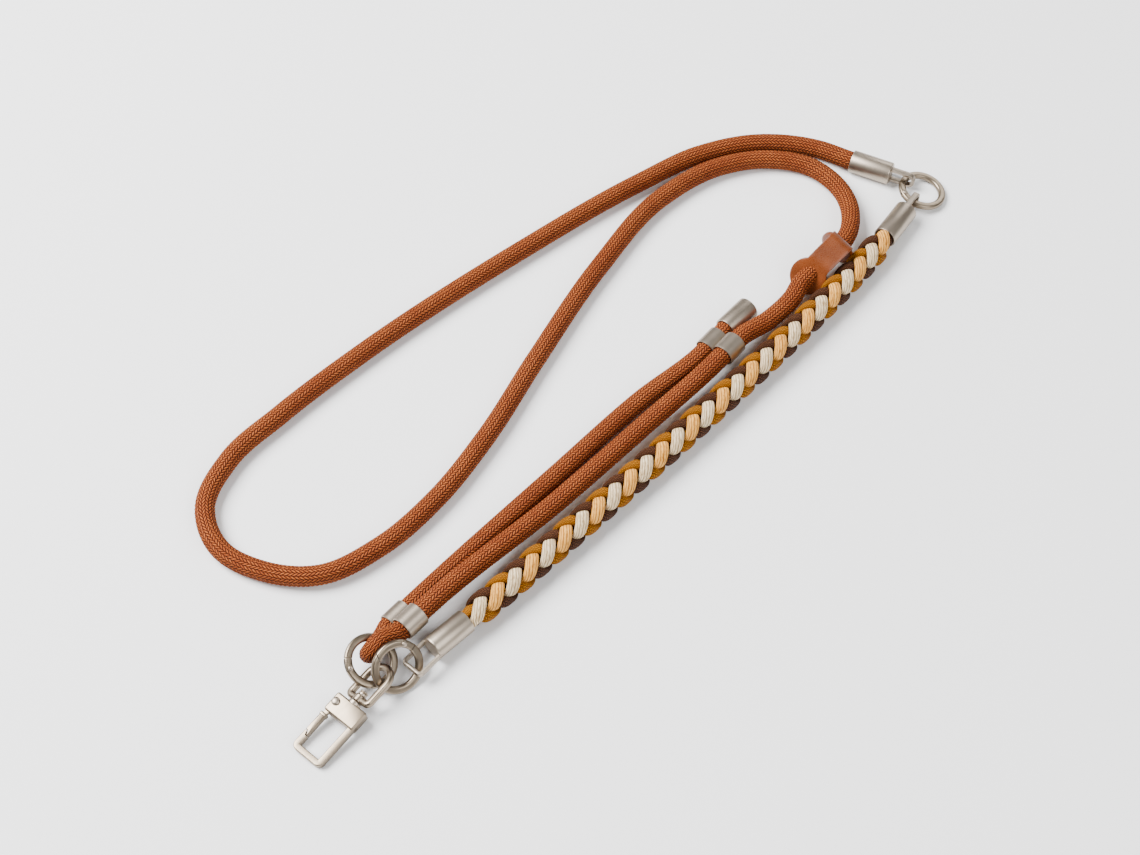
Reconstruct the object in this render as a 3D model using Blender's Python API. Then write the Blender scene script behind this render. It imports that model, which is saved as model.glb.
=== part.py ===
"""Crossbody phone strap lying on the plane z = 0, in metres with +Z up.

An 8 mm rope runs from a cap at the top ring, round two wide bends, through a folded leather keeper and
two double ferrules, round the lower ring and back to a free end cap.  A thick braid of four strands joins
the top ring to the snap hook's bow at the bottom.
"""

import math

import bmesh
import bpy
from mathutils import Matrix, Vector

for old_object in list(bpy.data.objects):
    bpy.data.objects.remove(old_object, do_unlink=True)

# General clearances
FIT_GAP = 0.0003
PLAN_CENTRE = (0.0302, -0.0041)

# Rope
ROPE_RADIUS = 0.004
ROPE_BIGHT_SHARE = 0.875
ROPE_STEP = 0.0262
ROPE_TURN = math.radians(36)
ROPE_GUIDE = 0.0005

# Caps
CAP_RADIUS = 0.0048
CAP_WALL = 0.00055
CAP_END_WALL = 0.0024
CAP_EDGE = 0.0011
CAP_RIM_EDGE = 0.0002
CAP_SIDES = 14
ROPE_CAP_LENGTH = 0.0177
BRAID_TOP_CAP_LENGTH = 0.0191
BRAID_BOTTOM_CAP_LENGTH = 0.0171
FREE_CAP_LENGTH = 0.0152

# Loops soldered to the caps
LOOP_STRIP_WIDTH = 0.0024
LOOP_STRIP_THICKNESS = 0.0013
LOOP_ROOT = 0.0012
UPRIGHT_LOOP_INSIDE = 0.0045
UPRIGHT_LOOP_CORNER = 0.0022
ROPE_CAP_LOOP_REACH = 0.0105
BRAID_TOP_LOOP_REACH = 0.0097
SQUARE_LOOP_INSIDE = 0.0070
SQUARE_LOOP_REACH = 0.0112
SQUARE_LOOP_CORNER = 0.0015

# Double ferrules
FERRULE_LENGTH = 0.0092
FERRULE_WALL = 0.0005
FERRULE_JOIN = 0.0007
FERRULE_SIDES = 14

# Leather keeper
KEEPER_THICKNESS = 0.0016
KEEPER_DISC_RADIUS = 0.0077
KEEPER_NECK_WIDTH = 0.0105
KEEPER_LEAN = math.radians(48)
KEEPER_RAMP = math.radians(17)
KEEPER_FRONT_BEND = 0.0060
KEEPER_CREST_BEND = 0.0030
KEEPER_FRONT_STRAIGHT = 0.0060
KEEPER_RELIEF = 0.0005
KEEPER_FIRST_ANGLE = math.radians(8)

# Rings with a spring gate
RING_RADIUS = 0.00875
RING_RADIAL = 0.0030
RING_AXIAL = 0.0024
RING_SEGMENTS = 24
RING_TONGUE_THICKNESS = 0.0008
RING_TONGUE_WIDTH = 0.0024
RING_RIVET_RADIUS = 0.0005
RING_RIVET_HEAD = 0.00105
RING_RIVET_DOME = 0.00035
RIVET_SIDES = 8

# Swivel snap hook, along its own axis from the bow's base bar
BOW_LENGTH = 0.0150
BOW_WIDTH = 0.0108
BOW_WIRE = 0.00135
BOW_CORNER = 0.0013
BOW_BOSS = 0.0022
PIN_RADIUS = 0.0008
PIN_DEPTH = 0.0028
PIN_HEAD_RADIUS = 0.00175
PIN_HEAD_LENGTH = 0.0019
COLLAR_RADIUS = 0.0026
COLLAR_LENGTH = 0.0010
BLOCK_LENGTH = 0.0080
BLOCK_THICKNESS = 0.0048
HOOK_WIDTH = 0.0140
HOOK_BAR = 0.00245
HOOK_BAR_THICKNESS = 0.0028
HOOK_HOLE_LENGTH = 0.0152
HOOK_CORNER = 0.0020
HOOK_ROOT = 0.0005
HOOK_TOOL_REACH = 0.0010
HOOK_PIVOT_SETBACK = 0.0045
HOOK_PIVOT_SIDE = 0.0051
HOOK_RIVET_RADIUS = 0.0008
HOOK_RIVET_HEAD = 0.00165
HOOK_RIVET_DOME = 0.0006
GATE_TONGUE_THICKNESS = 0.0015
GATE_TONGUE_RADIUS = 0.0017
GATE_TONGUE_INSET = 0.0004
GATE_BAR_SETBACK = 0.0012
GATE_COLLAR_LENGTH = 0.0012
GATE_COLLAR_STAND = 0.0002
GATE_OUTER_REACH = 0.0144
GATE_INNER_REACH = 0.0160
GATE_STEP_SIDE = 0.0007
GATE_STEP_WIDTH = 0.0003
GATE_SWING = math.radians(25)

# Braid of four strands
BRAID_TURNS = 13.75
BRAID_LEAD = 0.0026
BRAID_INSERT = 0.0080
BRAID_HEIGHT = 0.00602
BRAID_RISE = 0.0110
BRAID_BOW_SHARE = 0.6
BRAID_ROLL = math.radians(-25)
STRAND_RADIUS = 0.0034
STRAND_SWING = 0.00145
STRAND_WIDTH = 0.0032
STRAND_WIDTH_SWING = 0.0003
STRAND_HEIGHT = 0.0019
STRAND_STRETCH = 0.0006
STRAND_MOUTH_RADIUS = 0.0025
STRAND_MOUTH_WIDTH = 0.0028
STRAND_SIDES = 5
STRAND_STATIONS = 8

# Places of the pieces before the plan is centred: x, y, z
ROPE_CAP_RIM = (0.1205, 0.13415, 0.00485)
ROPE_CAP_HEADING = math.radians(-24.4)
BRAID_TOP_RIM = (0.1307, 0.0912, 0.00585)
BRAID_TOP_HEADING = math.radians(56)
BRAID_TOP_PITCH = math.radians(-3)
BRAID_BOTTOM_RIM = (-0.0382, -0.0897, 0.00585)
BRAID_BOTTOM_HEADING = math.radians(223.6)
BRAID_BOTTOM_PITCH = math.radians(-0.3)
SQUARE_LOOP_HEADING = math.radians(229)
FREE_CAP_RIM = (0.0627, 0.0445, 0.00485)
FREE_CAP_HEADING = math.radians(48.5)
UPPER_FERRULE = (0.0543, 0.0340, 0.00485)
UPPER_FERRULE_HEADING = math.radians(50.5)
UPPER_FERRULE_ROLL = math.radians(-24)
LOWER_FERRULE = (-0.0664, -0.0914, 0.00485)
LOWER_FERRULE_HEADING = math.radians(48.4)
LOWER_FERRULE_ROLL = math.radians(-40)
KEEPER_FRONT = (0.0976, 0.0702, 0.0070)
KEEPER_BACK = (0.1104, 0.0843, 0.0080)
KEEPER_ROLL = math.radians(19)
HOOK_BASE = (-0.07605, -0.12145, 0.00515)
HOOK_HEADING = math.radians(49.6)
HOOK_PITCH = math.radians(7.6)
BOW_ROLL = math.radians(-22)

# Rings: centre, tilt from the floor, uphill direction, then heel cut, pivot and free cut round the ring
RINGS = {
    "top_ring": ((0.1492, 0.1190, 0.00314), 11.8, 190, 228, 202, 160),
    "ring_a": ((-0.0722, -0.1073, 0.00775), 28.5, 148, 179, 205, 278),
    "ring_b": ((-0.06245, -0.11005, 0.00840), 51.5, 128, 48, 74, 152),
}

# The rope's hand-chosen route: x, y and height of its centre
ROPE_OUTER_RUN = [
    (0.1065, 0.1415, 0.00410),
    (0.0815, 0.1449, 0.00410),
    (0.0560, 0.1386, 0.00410),
    (0.0297, 0.1228, 0.00410),
    (-0.0207, 0.0856, 0.00410),
    (-0.0842, 0.0324, 0.00410),
    (-0.1140, 0.0032, 0.00410),
    (-0.1322, -0.0179, 0.00410),
    (-0.1394, -0.0406, 0.00410),
    (-0.1320, -0.0580, 0.00410),
    (-0.1161, -0.0673, 0.00410),
    (-0.0936, -0.0693, 0.00410),
    (-0.0717, -0.0570, 0.00410),
    (-0.0517, -0.0362, 0.00410),
    (-0.0336, -0.0086, 0.00410),
    (-0.0138, 0.0299, 0.00410),
    (0.0124, 0.0777, 0.00410),
    (0.0382, 0.1138, 0.00410),
    (0.0645, 0.1318, 0.00410),
    (0.0855, 0.1356, 0.00410),
    (0.1030, 0.1312, 0.00410),
    (0.1142, 0.1190, 0.00430),
    (0.1175, 0.1025, 0.00600),
]
ROPE_BELOW_KEEPER = [
    (0.0902, 0.0590, 0.00620),
    (0.0806, 0.0484, 0.00640),
]
ROPE_RIGHT_STRAND = [
    (0.0270, -0.0050, 0.00560),
    (-0.0040, -0.0370, 0.00560),
]
ROPE_BIGHT = [
    (-0.0642, -0.0988, 0.01220),
    (-0.0680, -0.1010, 0.01355),
    (-0.0711, -0.1041, 0.01200),
    (-0.0732, -0.1047, 0.00795),
    (-0.0727, -0.1016, 0.00490),
    (-0.0709, -0.0980, 0.00385),
    (-0.0688, -0.0948, 0.00430),
]
ROPE_LEFT_STRAND = [
    (0.0277, 0.0100, 0.00410),
    (-0.0040, -0.0235, 0.00410),
]

NICKEL = ("satin_nickel", (0.62, 0.59, 0.54), 0.32, 1.0)
RUST_ROPE = ("rust_rope", (0.55, 0.20, 0.07), 0.80, 0.0)
BROWN_YARN = ("dark_brown_yarn", (0.14, 0.06, 0.04), 0.85, 0.0)
OCHRE_YARN = ("ochre_yarn", (0.70, 0.42, 0.10), 0.85, 0.0)
PEACH_YARN = ("peach_yarn", (0.82, 0.50, 0.34), 0.80, 0.0)
CREAM_YARN = ("cream_yarn", (0.86, 0.80, 0.66), 0.80, 0.0)
RUST_LEATHER = ("rust_leather", (0.35, 0.12, 0.06), 0.60, 0.0)


# Placing and shading

def place(point):
    """World position of a point of the plan."""
    return Vector((point[0] - PLAN_CENTRE[0], point[1] - PLAN_CENTRE[1], point[2]))


def axis_frame(point, heading, pitch=0.0, roll=0.0):
    """Frame with +X along a heading, +Y to its left and +Z up, then pitched up and rolled."""
    turn = Matrix.Rotation(heading, 4, "Z") @ Matrix.Rotation(-pitch, 4, "Y")
    return Matrix.Translation(place(point)) @ turn @ Matrix.Rotation(roll, 4, "X")


def ring_frame(centre, tilt, uphill):
    """Frame of a ring: +Z its axis, +X as near to world +X as the tilt allows."""
    tilt = math.radians(tilt)
    uphill = math.radians(uphill)
    lean = math.sin(tilt)
    normal = Vector((-math.cos(uphill) * lean, -math.sin(uphill) * lean, math.cos(tilt)))
    across = (Vector((1, 0, 0)) - normal.x * normal).normalized()
    turn = Matrix((across, normal.cross(across), normal)).transposed().to_4x4()
    return Matrix.Translation(place(centre)) @ turn


def surface(finish):
    """One Principled material for a named finish."""
    name, colour, roughness, metallic = finish
    material = bpy.data.materials.get(name) or bpy.data.materials.new(name)
    material.use_nodes = True
    shader = material.node_tree.nodes["Principled BSDF"]
    shader.inputs["Base Color"].default_value = (*colour, 1.0)
    shader.inputs["Roughness"].default_value = roughness
    shader.inputs["Metallic"].default_value = metallic
    return material


def publish(name, shape, finish=None, frame=None):
    """Add a bmesh to the scene as one named object in its own frame."""
    bmesh.ops.recalc_face_normals(shape, faces=shape.faces)
    mesh = bpy.data.meshes.new(name)
    shape.to_mesh(mesh)
    shape.free()
    item = bpy.data.objects.new(name, mesh)
    bpy.context.collection.objects.link(item)
    if frame is not None:
        item.matrix_world = frame
    if finish is not None:
        mesh.materials.append(surface(finish))
        mesh.shade_smooth()
        mesh.set_sharp_from_angle(angle=math.radians(40))
    return item


def combine(item, tool, operation):
    """Boolean of a piece with a hidden tool drawn in the piece's own frame."""
    tool.parent = item
    tool.hide_render = True
    tool.display_type = "WIRE"
    step = item.modifiers.new(tool.name, "BOOLEAN")
    step.operation = operation
    step.solver = "EXACT"
    step.object = tool


def add_solid(item, tool):
    combine(item, tool, "UNION")


def cut_away(item, tool):
    combine(item, tool, "DIFFERENCE")


# Basic closed shapes

def skin(name, loops, finish=None, frame=None, closed=False):
    """One closed mesh through equal loops of points, with flat ends unless it closes on itself."""
    shape = bmesh.new()
    rows = [[shape.verts.new(point) for point in loop] for loop in loops]
    following = rows[1:] + rows[:1] if closed else rows[1:]
    for row, other in zip(rows, following):
        for i in range(len(row)):
            j = (i + 1) % len(row)
            shape.faces.new((row[i], row[j], other[j], other[i]))
    if not closed:
        shape.faces.new(rows[0])
        shape.faces.new(rows[-1])
    return publish(name, shape, finish, frame)


def prism(name, outline, half, finish=None, frame=None):
    """Flat outline in XY, as thick as twice half."""
    loops = [[(x, y, z) for x, y in outline] for z in (-half, half)]
    return skin(name, loops, finish, frame)


def turned(name, profile, sides, finish=None, frame=None):
    """Profile of (x, radius) turned round the X axis; its first and last points lie on the axis."""
    shape = bmesh.new()
    first = shape.verts.new((profile[0][0], 0, 0))
    last = shape.verts.new((profile[-1][0], 0, 0))
    rows = []
    for x, radius in profile[1:-1]:
        row = []
        for i in range(sides):
            angle = 2 * math.pi * i / sides
            row.append(shape.verts.new((x, radius * math.cos(angle), radius * math.sin(angle))))
        rows.append(row)
    for i in range(sides):
        j = (i + 1) % sides
        shape.faces.new((first, rows[0][i], rows[0][j]))
        shape.faces.new((last, rows[-1][j], rows[-1][i]))
        for row, other in zip(rows, rows[1:]):
            shape.faces.new((row[i], row[j], other[j], other[i]))
    return publish(name, shape, finish, frame)


def rod(name, start, end, radius, sides, axis="X", centre=(0.0, 0.0)):
    """Plain cylinder along an axis of the piece's frame, used as a tool."""
    loops = []
    for along in (start, end):
        loop = []
        for i in range(sides):
            angle = 2 * math.pi * (i + 0.5) / sides
            across = centre[0] + radius * math.cos(angle)
            above = centre[1] + radius * math.sin(angle)
            loop.append((along, across, above) if axis == "X" else (across, above, along))
        loops.append(loop)
    return skin(name, loops)


def arc(centre, radius, start, end, steps):
    """Points of an arc in XY, angles in radians."""
    angles = [start + (end - start) * i / steps for i in range(steps + 1)]
    return [(centre[0] + radius * math.cos(a), centre[1] + radius * math.sin(a)) for a in angles]


def sweep_flat(path, section, closed=False):
    """Loops of a section of (side, height) points carried along a path in XY."""
    loops = []
    for i, (x, y) in enumerate(path):
        ahead = path[(i + 1) % len(path)] if closed or i + 1 < len(path) else path[i]
        behind = path[i - 1] if closed or i > 0 else path[i]
        heading = Vector((ahead[0] - behind[0], ahead[1] - behind[1])).normalized()
        side = Vector((-heading.y, heading.x))
        loops.append([(x + side.x * s, y + side.y * s, h) for s, h in section])
    return loops


def chamfered(width, height, cut):
    """Eight-point section of a strip with its four edges taken off."""
    w = width / 2
    h = height / 2
    return [(w, h - cut), (w - cut, h), (cut - w, h), (-w, h - cut),
            (-w, cut - h), (cut - w, -h), (w - cut, -h), (w, cut - h)]


# Caps and their soldered loops

CAP_BORE = CAP_RADIUS - CAP_WALL


def cap(name, frame, length):
    """Cup with its rim at the frame's origin, open towards -X."""
    depth = length - CAP_END_WALL
    profile = [
        (depth, 0),
        (depth, CAP_BORE),
        (0, CAP_BORE),
        (0, CAP_RADIUS - CAP_RIM_EDGE),
        (CAP_RIM_EDGE, CAP_RADIUS),
        (length - CAP_EDGE, CAP_RADIUS),
        (length - 0.3 * CAP_EDGE, CAP_RADIUS - 0.3 * CAP_EDGE),
        (length, CAP_RADIUS - CAP_EDGE),
        (length, 0),
    ]
    return turned(name, profile, CAP_SIDES, NICKEL, frame)


def loop_path(inside, reach, corner):
    """Middle line of a U-shaped strip in XY, its ends at x = 0 and its round end at the reach."""
    half = (inside + LOOP_STRIP_THICKNESS) / 2
    far = reach - LOOP_STRIP_THICKNESS / 2 - corner
    upper = arc((far, half - corner), corner, math.pi / 2, 0, 4)
    lower = arc((far, corner - half), corner, 0, -math.pi / 2, 4)
    return [(0, half)] + upper + lower + [(0, -half)]


def loop_tool(name, inside, reach, corner):
    """Strip bent to a U in XY, LOOP_STRIP_WIDTH wide along Z."""
    path = loop_path(inside, reach + LOOP_ROOT, corner)
    section = chamfered(LOOP_STRIP_THICKNESS, LOOP_STRIP_WIDTH, 0.2 * LOOP_STRIP_THICKNESS)
    return skin(name, sweep_flat(path, section))


def fit_loop(cap_item, tool, turn):
    """Solder a loop tool to a cap: turn places the strip's plane in the cap's frame."""
    add_solid(cap_item, tool)
    tool.matrix_basis = turn


def capped_rope_end(name, frame, length, reach):
    """Cap with an upright loop in line with its axis."""
    item = cap(name, frame, length)
    tool = loop_tool(name + "_loop", UPRIGHT_LOOP_INSIDE, reach, UPRIGHT_LOOP_CORNER)
    upright = Matrix.Translation((length - LOOP_ROOT, 0, 0)) @ Matrix.Rotation(math.pi / 2, 4, "X")
    fit_loop(item, tool, upright)
    return item


ROPE_CAP_FRAME = axis_frame(ROPE_CAP_RIM, ROPE_CAP_HEADING)
BRAID_TOP_FRAME = axis_frame(BRAID_TOP_RIM, BRAID_TOP_HEADING, BRAID_TOP_PITCH)
BRAID_BOTTOM_FRAME = axis_frame(BRAID_BOTTOM_RIM, BRAID_BOTTOM_HEADING, BRAID_BOTTOM_PITCH)
FREE_CAP_FRAME = axis_frame(FREE_CAP_RIM, FREE_CAP_HEADING)


def make_caps():
    capped_rope_end("rope_cap", ROPE_CAP_FRAME, ROPE_CAP_LENGTH, ROPE_CAP_LOOP_REACH)
    capped_rope_end("braid_top_cap", BRAID_TOP_FRAME, BRAID_TOP_CAP_LENGTH, BRAID_TOP_LOOP_REACH)
    cap("free_end_cap", FREE_CAP_FRAME, FREE_CAP_LENGTH)
    item = cap("braid_bottom_cap", BRAID_BOTTOM_FRAME, BRAID_BOTTOM_CAP_LENGTH)
    tool = loop_tool("braid_bottom_cap_loop", SQUARE_LOOP_INSIDE, SQUARE_LOOP_REACH, SQUARE_LOOP_CORNER)
    level = Matrix.Rotation(BRAID_BOTTOM_PITCH, 4, "Y")
    swing = Matrix.Rotation(SQUARE_LOOP_HEADING - BRAID_BOTTOM_HEADING, 4, "Z")
    seat = Matrix.Translation((BRAID_BOTTOM_CAP_LENGTH - LOOP_ROOT, 0, 0))
    fit_loop(item, tool, seat @ level @ swing)


# Double ferrules

FERRULE_BORE = ROPE_RADIUS + FIT_GAP
FERRULE_OUTER = FERRULE_BORE + FERRULE_WALL
FERRULE_SPACING = 2 * FERRULE_OUTER - FERRULE_JOIN
UPPER_FERRULE_FRAME = axis_frame(UPPER_FERRULE, UPPER_FERRULE_HEADING, 0, UPPER_FERRULE_ROLL)
LOWER_FERRULE_FRAME = axis_frame(LOWER_FERRULE, LOWER_FERRULE_HEADING, 0, LOWER_FERRULE_ROLL)


def make_ferrule(name, frame):
    """Two barrels side by side: the left one on the frame's X axis, the right one beside it."""
    edge = CAP_RIM_EDGE
    profile = [(0, 0), (0, FERRULE_OUTER - edge), (edge, FERRULE_OUTER),
               (FERRULE_LENGTH - edge, FERRULE_OUTER), (FERRULE_LENGTH, FERRULE_OUTER - edge),
               (FERRULE_LENGTH, 0)]
    item = turned(name, profile, FERRULE_SIDES, NICKEL, frame)
    twin = turned(name + "_twin", profile, FERRULE_SIDES)
    add_solid(item, twin)
    twin.location.y = -FERRULE_SPACING
    for barrel in (0, 1):
        centre = (-FERRULE_SPACING * barrel, 0)
        cut_away(item, rod(f"{name}_bore_{barrel}", -FERRULE_BORE, FERRULE_LENGTH + FERRULE_BORE,
                           FERRULE_BORE, FERRULE_SIDES, centre=centre))


# Leather keeper

KEEPER_SPAN = (Vector(KEEPER_BACK) - Vector(KEEPER_FRONT)).length
KEEPER_RISE = Vector(KEEPER_BACK) - Vector(KEEPER_FRONT)
KEEPER_HEADING = math.atan2(KEEPER_RISE.y, KEEPER_RISE.x)
KEEPER_PITCH = math.asin(KEEPER_RISE.z / KEEPER_SPAN)
KEEPER_FRAME = axis_frame(KEEPER_FRONT, KEEPER_HEADING, KEEPER_PITCH, KEEPER_ROLL)


def keeper_path():
    """Runs of the strip's middle line in XZ: (length, turn), from the front disc's edge to the back one's."""
    lean, ramp = KEEPER_LEAN, KEEPER_RAMP
    front = KEEPER_DISC_RADIUS + KEEPER_FRONT_STRAIGHT
    start = -KEEPER_DISC_RADIUS
    bend_x = KEEPER_FRONT_BEND * (math.sin(lean) - math.sin(ramp))
    bend_z = KEEPER_FRONT_BEND * (math.cos(ramp) - math.cos(lean))
    x = (start + front) * math.cos(lean) + bend_x
    z = (start + front) * math.sin(lean) + bend_z
    crest_x = KEEPER_CREST_BEND * (1 + math.sin(ramp))
    climb = (KEEPER_SPAN - x - crest_x) / math.cos(ramp)
    top = z + climb * math.sin(ramp)
    drop = top - KEEPER_CREST_BEND * math.cos(ramp) + KEEPER_DISC_RADIUS
    return [(front, 0.0), (KEEPER_FRONT_BEND * (lean - ramp), ramp - lean), (climb, 0.0),
            (KEEPER_CREST_BEND * (math.pi / 2 + ramp), -math.pi / 2 - ramp), (drop, 0.0)]


def keeper_point(runs, travel):
    """Position and direction of the strip's middle line after a length of strip."""
    x = -KEEPER_DISC_RADIUS * math.cos(KEEPER_LEAN)
    z = -KEEPER_DISC_RADIUS * math.sin(KEEPER_LEAN)
    angle = KEEPER_LEAN
    for length, turn in runs:
        part = min(travel, length)
        swung = turn * part / length
        middle = angle + swung / 2
        chord = part if turn == 0 else part * math.sin(swung / 2) / (swung / 2) if swung else 0.0
        x += chord * math.cos(middle)
        z += chord * math.sin(middle)
        angle += swung
        travel -= part
        if travel <= 0:
            break
    return x, z, angle


def make_keeper():
    """Dumb-bell strip: a round end in front, a bridge over the rope and a round end behind."""
    runs = keeper_path()
    whole = sum(length for length, turn in runs)
    neck = KEEPER_NECK_WIDTH / 2
    shoulder = math.pi - math.asin(neck / KEEPER_DISC_RADIUS)
    disc = []
    for step in range(10):
        angle = KEEPER_FIRST_ANGLE + (shoulder - KEEPER_FIRST_ANGLE) * step / 9
        travel = KEEPER_DISC_RADIUS * (1 - math.cos(angle))
        disc.append((travel, KEEPER_DISC_RADIUS * math.sin(angle)))
    bridge_start = runs[0][0]
    bend_end = bridge_start + runs[1][0]
    crest = bend_end + runs[2][0]
    bridge = [(bend_end, neck), ((bend_end + crest) / 2, neck)]
    bridge += [(crest + runs[3][0] * share, neck) for share in (0.0, 0.3, 0.6)]
    stations = disc + bridge + [(whole - travel, half) for travel, half in reversed(disc)]
    loops = []
    for travel, half in stations:
        x, z, angle = keeper_point(runs, travel)
        out_x = -math.sin(angle) * KEEPER_THICKNESS / 2
        out_z = math.cos(angle) * KEEPER_THICKNESS / 2
        loops.append([(x + out_x, half, z + out_z), (x + out_x, -half, z + out_z),
                      (x - out_x, -half, z - out_z), (x - out_x, half, z - out_z)])
    item = skin("leather_keeper", loops, RUST_LEATHER, KEEPER_FRAME)
    hole = rod("leather_keeper_hole", -KEEPER_DISC_RADIUS, KEEPER_SPAN + KEEPER_DISC_RADIUS,
               ROPE_RADIUS + FIT_GAP, FERRULE_SIDES)
    cut_away(item, hole)
    relief = make_braid_sleeve("leather_keeper_relief")
    cut_away(item, relief)
    relief.matrix_basis = KEEPER_FRAME.inverted()


# Rings with a spring gate

def ring_section():
    """Rounded section of the ring's bar: (outward, along the axis)."""
    return chamfered(RING_RADIAL, RING_AXIAL, 0.27 * RING_RADIAL)


def swing_angle(radius, reach):
    """Angle round the ring at which a circle about the pivot, of radius reach, meets a ring radius."""
    cosine = (radius ** 2 + RING_RADIUS ** 2 - reach ** 2) / (2 * radius * RING_RADIUS)
    return math.acos(cosine)


def ring_bar(name, first, last, steps, frame):
    """Bar along the ring between two cuts; each cut gives its angle at a radius."""
    loops = []
    for step in range(steps + 1):
        share = step / steps
        loop = []
        for out, up in ring_section():
            radius = RING_RADIUS + out
            angle = first(radius) * (1 - share) + last(radius) * share
            loop.append((radius * math.cos(angle), radius * math.sin(angle), up))
        loops.append(loop)
    return skin(name, loops, NICKEL, frame)


def ring_point(radius, angle):
    return (radius * math.cos(angle), radius * math.sin(angle))


def ring_tongue_outline(heel, pivot, way, half):
    """Tongue from inside the fixed bar to a round end about the pivot."""
    root = heel - way * math.radians(8)
    outer = [ring_point(RING_RADIUS + half, root + (pivot - root) * i / 3) for i in range(3)]
    inner = [ring_point(RING_RADIUS - half, pivot + (root - pivot) * i / 3) for i in range(1, 4)]
    return outer + arc(ring_point(RING_RADIUS, pivot), half, pivot, pivot + way * math.pi, 8) + inner


def ring_slot_outline(heel, pivot, way, reach):
    """Slot that leaves the tongue free from the heel cut to beyond the pivot."""
    far = heel - way * math.radians(10)
    wide = 2 * RING_RADIAL
    start = [ring_point(RING_RADIUS + wide, far)]
    end = [ring_point(RING_RADIUS - wide, far)]
    return start + arc(ring_point(RING_RADIUS, pivot), reach, pivot, pivot + way * math.pi, 9) + end


def make_rivet(name, shank, half, head, dome, frame):
    """Rivet along X with a domed head past each face of the piece it holds."""
    start = half + FIT_GAP
    side = [(start, shank), (start, head), (start + 0.6 * dome, 0.75 * head)]
    tail = [(-x, radius) for x, radius in reversed(side)]
    profile = [(-start - dome, 0)] + tail + side + [(start + dome, 0)]
    return turned(name, profile, RIVET_SIDES, NICKEL, frame)


def make_ring(name, centre, tilt, uphill, heel, pivot, free):
    """Fixed bar with a tongue, a gate slotted over it, and the rivet between them."""
    frame = ring_frame(centre, tilt, uphill)
    heel, pivot, free = (math.radians(angle) for angle in (heel, pivot, free))
    way = 1 if free > heel else -1
    half_gap = FIT_GAP / 2 / RING_RADIUS
    reach = 2 * RING_RADIUS * math.sin(abs(free - pivot) / 2)
    gate_steps = round(RING_SEGMENTS * abs(free - heel) / (2 * math.pi)) + 1
    body_steps = RING_SEGMENTS - gate_steps + 1

    def gate_heel(radius):
        return heel + way * half_gap

    def gate_tip(radius):
        return pivot + way * swing_angle(radius, reach - FIT_GAP / 2)

    def body_tip(radius):
        return pivot + way * swing_angle(radius, reach + FIT_GAP / 2)

    def body_heel(radius):
        return heel + way * (2 * math.pi - half_gap)

    hole = RING_RIVET_RADIUS + FIT_GAP
    tongue_half = RING_TONGUE_THICKNESS / 2
    slot_half = tongue_half + FIT_GAP
    hinge = ring_point(RING_RADIUS, pivot)

    body = ring_bar(name, body_tip, body_heel, body_steps, frame)
    outline = ring_tongue_outline(heel, pivot, way, RING_TONGUE_WIDTH / 2)
    add_solid(body, prism(name + "_tongue", outline, tongue_half))
    cut_away(body, rod(name + "_hole", -RING_AXIAL, RING_AXIAL, hole, 10, "Z", hinge))

    gate = ring_bar(name + "_gate", gate_heel, gate_tip, gate_steps, frame)
    slot = ring_slot_outline(heel, pivot, way, 1.1 * RING_TONGUE_WIDTH / 2 + FIT_GAP)
    cut_away(gate, rod(name + "_gate_hole", -RING_AXIAL, RING_AXIAL, hole, 10, "Z", hinge))
    cut_away(gate, prism(name + "_gate_slot", slot, slot_half))
    shift = Matrix.Translation((-hinge[0], -hinge[1], 0))
    gate.data.transform(shift)
    gate.matrix_world = frame @ shift.inverted()
    for tool in gate.children:
        tool.data.transform(shift)

    upright = Matrix.Translation((hinge[0], hinge[1], 0)) @ Matrix.Rotation(-math.pi / 2, 4, "Y")
    make_rivet(name + "_rivet", RING_RIVET_RADIUS, RING_AXIAL / 2, RING_RIVET_HEAD, RING_RIVET_DOME,
               frame @ upright)


# Swivel snap hook

HOOK_FRAME = axis_frame(HOOK_BASE, HOOK_HEADING, HOOK_PITCH)
BOW_FRAME = axis_frame(HOOK_BASE, HOOK_HEADING, HOOK_PITCH, BOW_ROLL)
COLLAR_FACE = -BOW_WIRE - FIT_GAP
BLOCK_FRONT = COLLAR_FACE - COLLAR_LENGTH
BLOCK_BACK = BLOCK_FRONT - BLOCK_LENGTH
HOLE_END = BLOCK_BACK - HOOK_HOLE_LENGTH
HOOK_TIP = HOLE_END - HOOK_BAR
HOOK_HALF = HOOK_WIDTH / 2
HOLE_HALF = HOOK_HALF - HOOK_BAR
HOOK_PIVOT = (BLOCK_BACK + HOOK_PIVOT_SETBACK, HOOK_PIVOT_SIDE)
PIVOT_FRAME = HOOK_FRAME @ Matrix.Translation((HOOK_PIVOT[0], HOOK_PIVOT[1], 0))


def make_bow():
    """D-shaped loop with a bored boss on its base bar."""
    half = BOW_WIDTH / 2
    round_end = arc((BOW_LENGTH - half, 0), half, math.pi / 2, -math.pi / 2, 10)
    right = arc((BOW_CORNER, BOW_CORNER - half), BOW_CORNER, -math.pi / 2, -math.pi, 3)
    left = arc((BOW_CORNER, half - BOW_CORNER), BOW_CORNER, math.pi, math.pi / 2, 3)
    path = round_end + right + left
    section = chamfered(2 * BOW_WIRE, 2 * BOW_WIRE, 0.59 * BOW_WIRE)
    item = skin("hook_bow", sweep_flat(path, section, closed=True), NICKEL, BOW_FRAME, closed=True)
    add_solid(item, rod("hook_bow_boss", -BOW_WIRE, BOW_WIRE, BOW_BOSS, 12))
    cut_away(item, rod("hook_bow_hole", -2 * BOW_WIRE, 2 * BOW_WIRE, PIN_RADIUS + FIT_GAP, 12))


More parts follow.
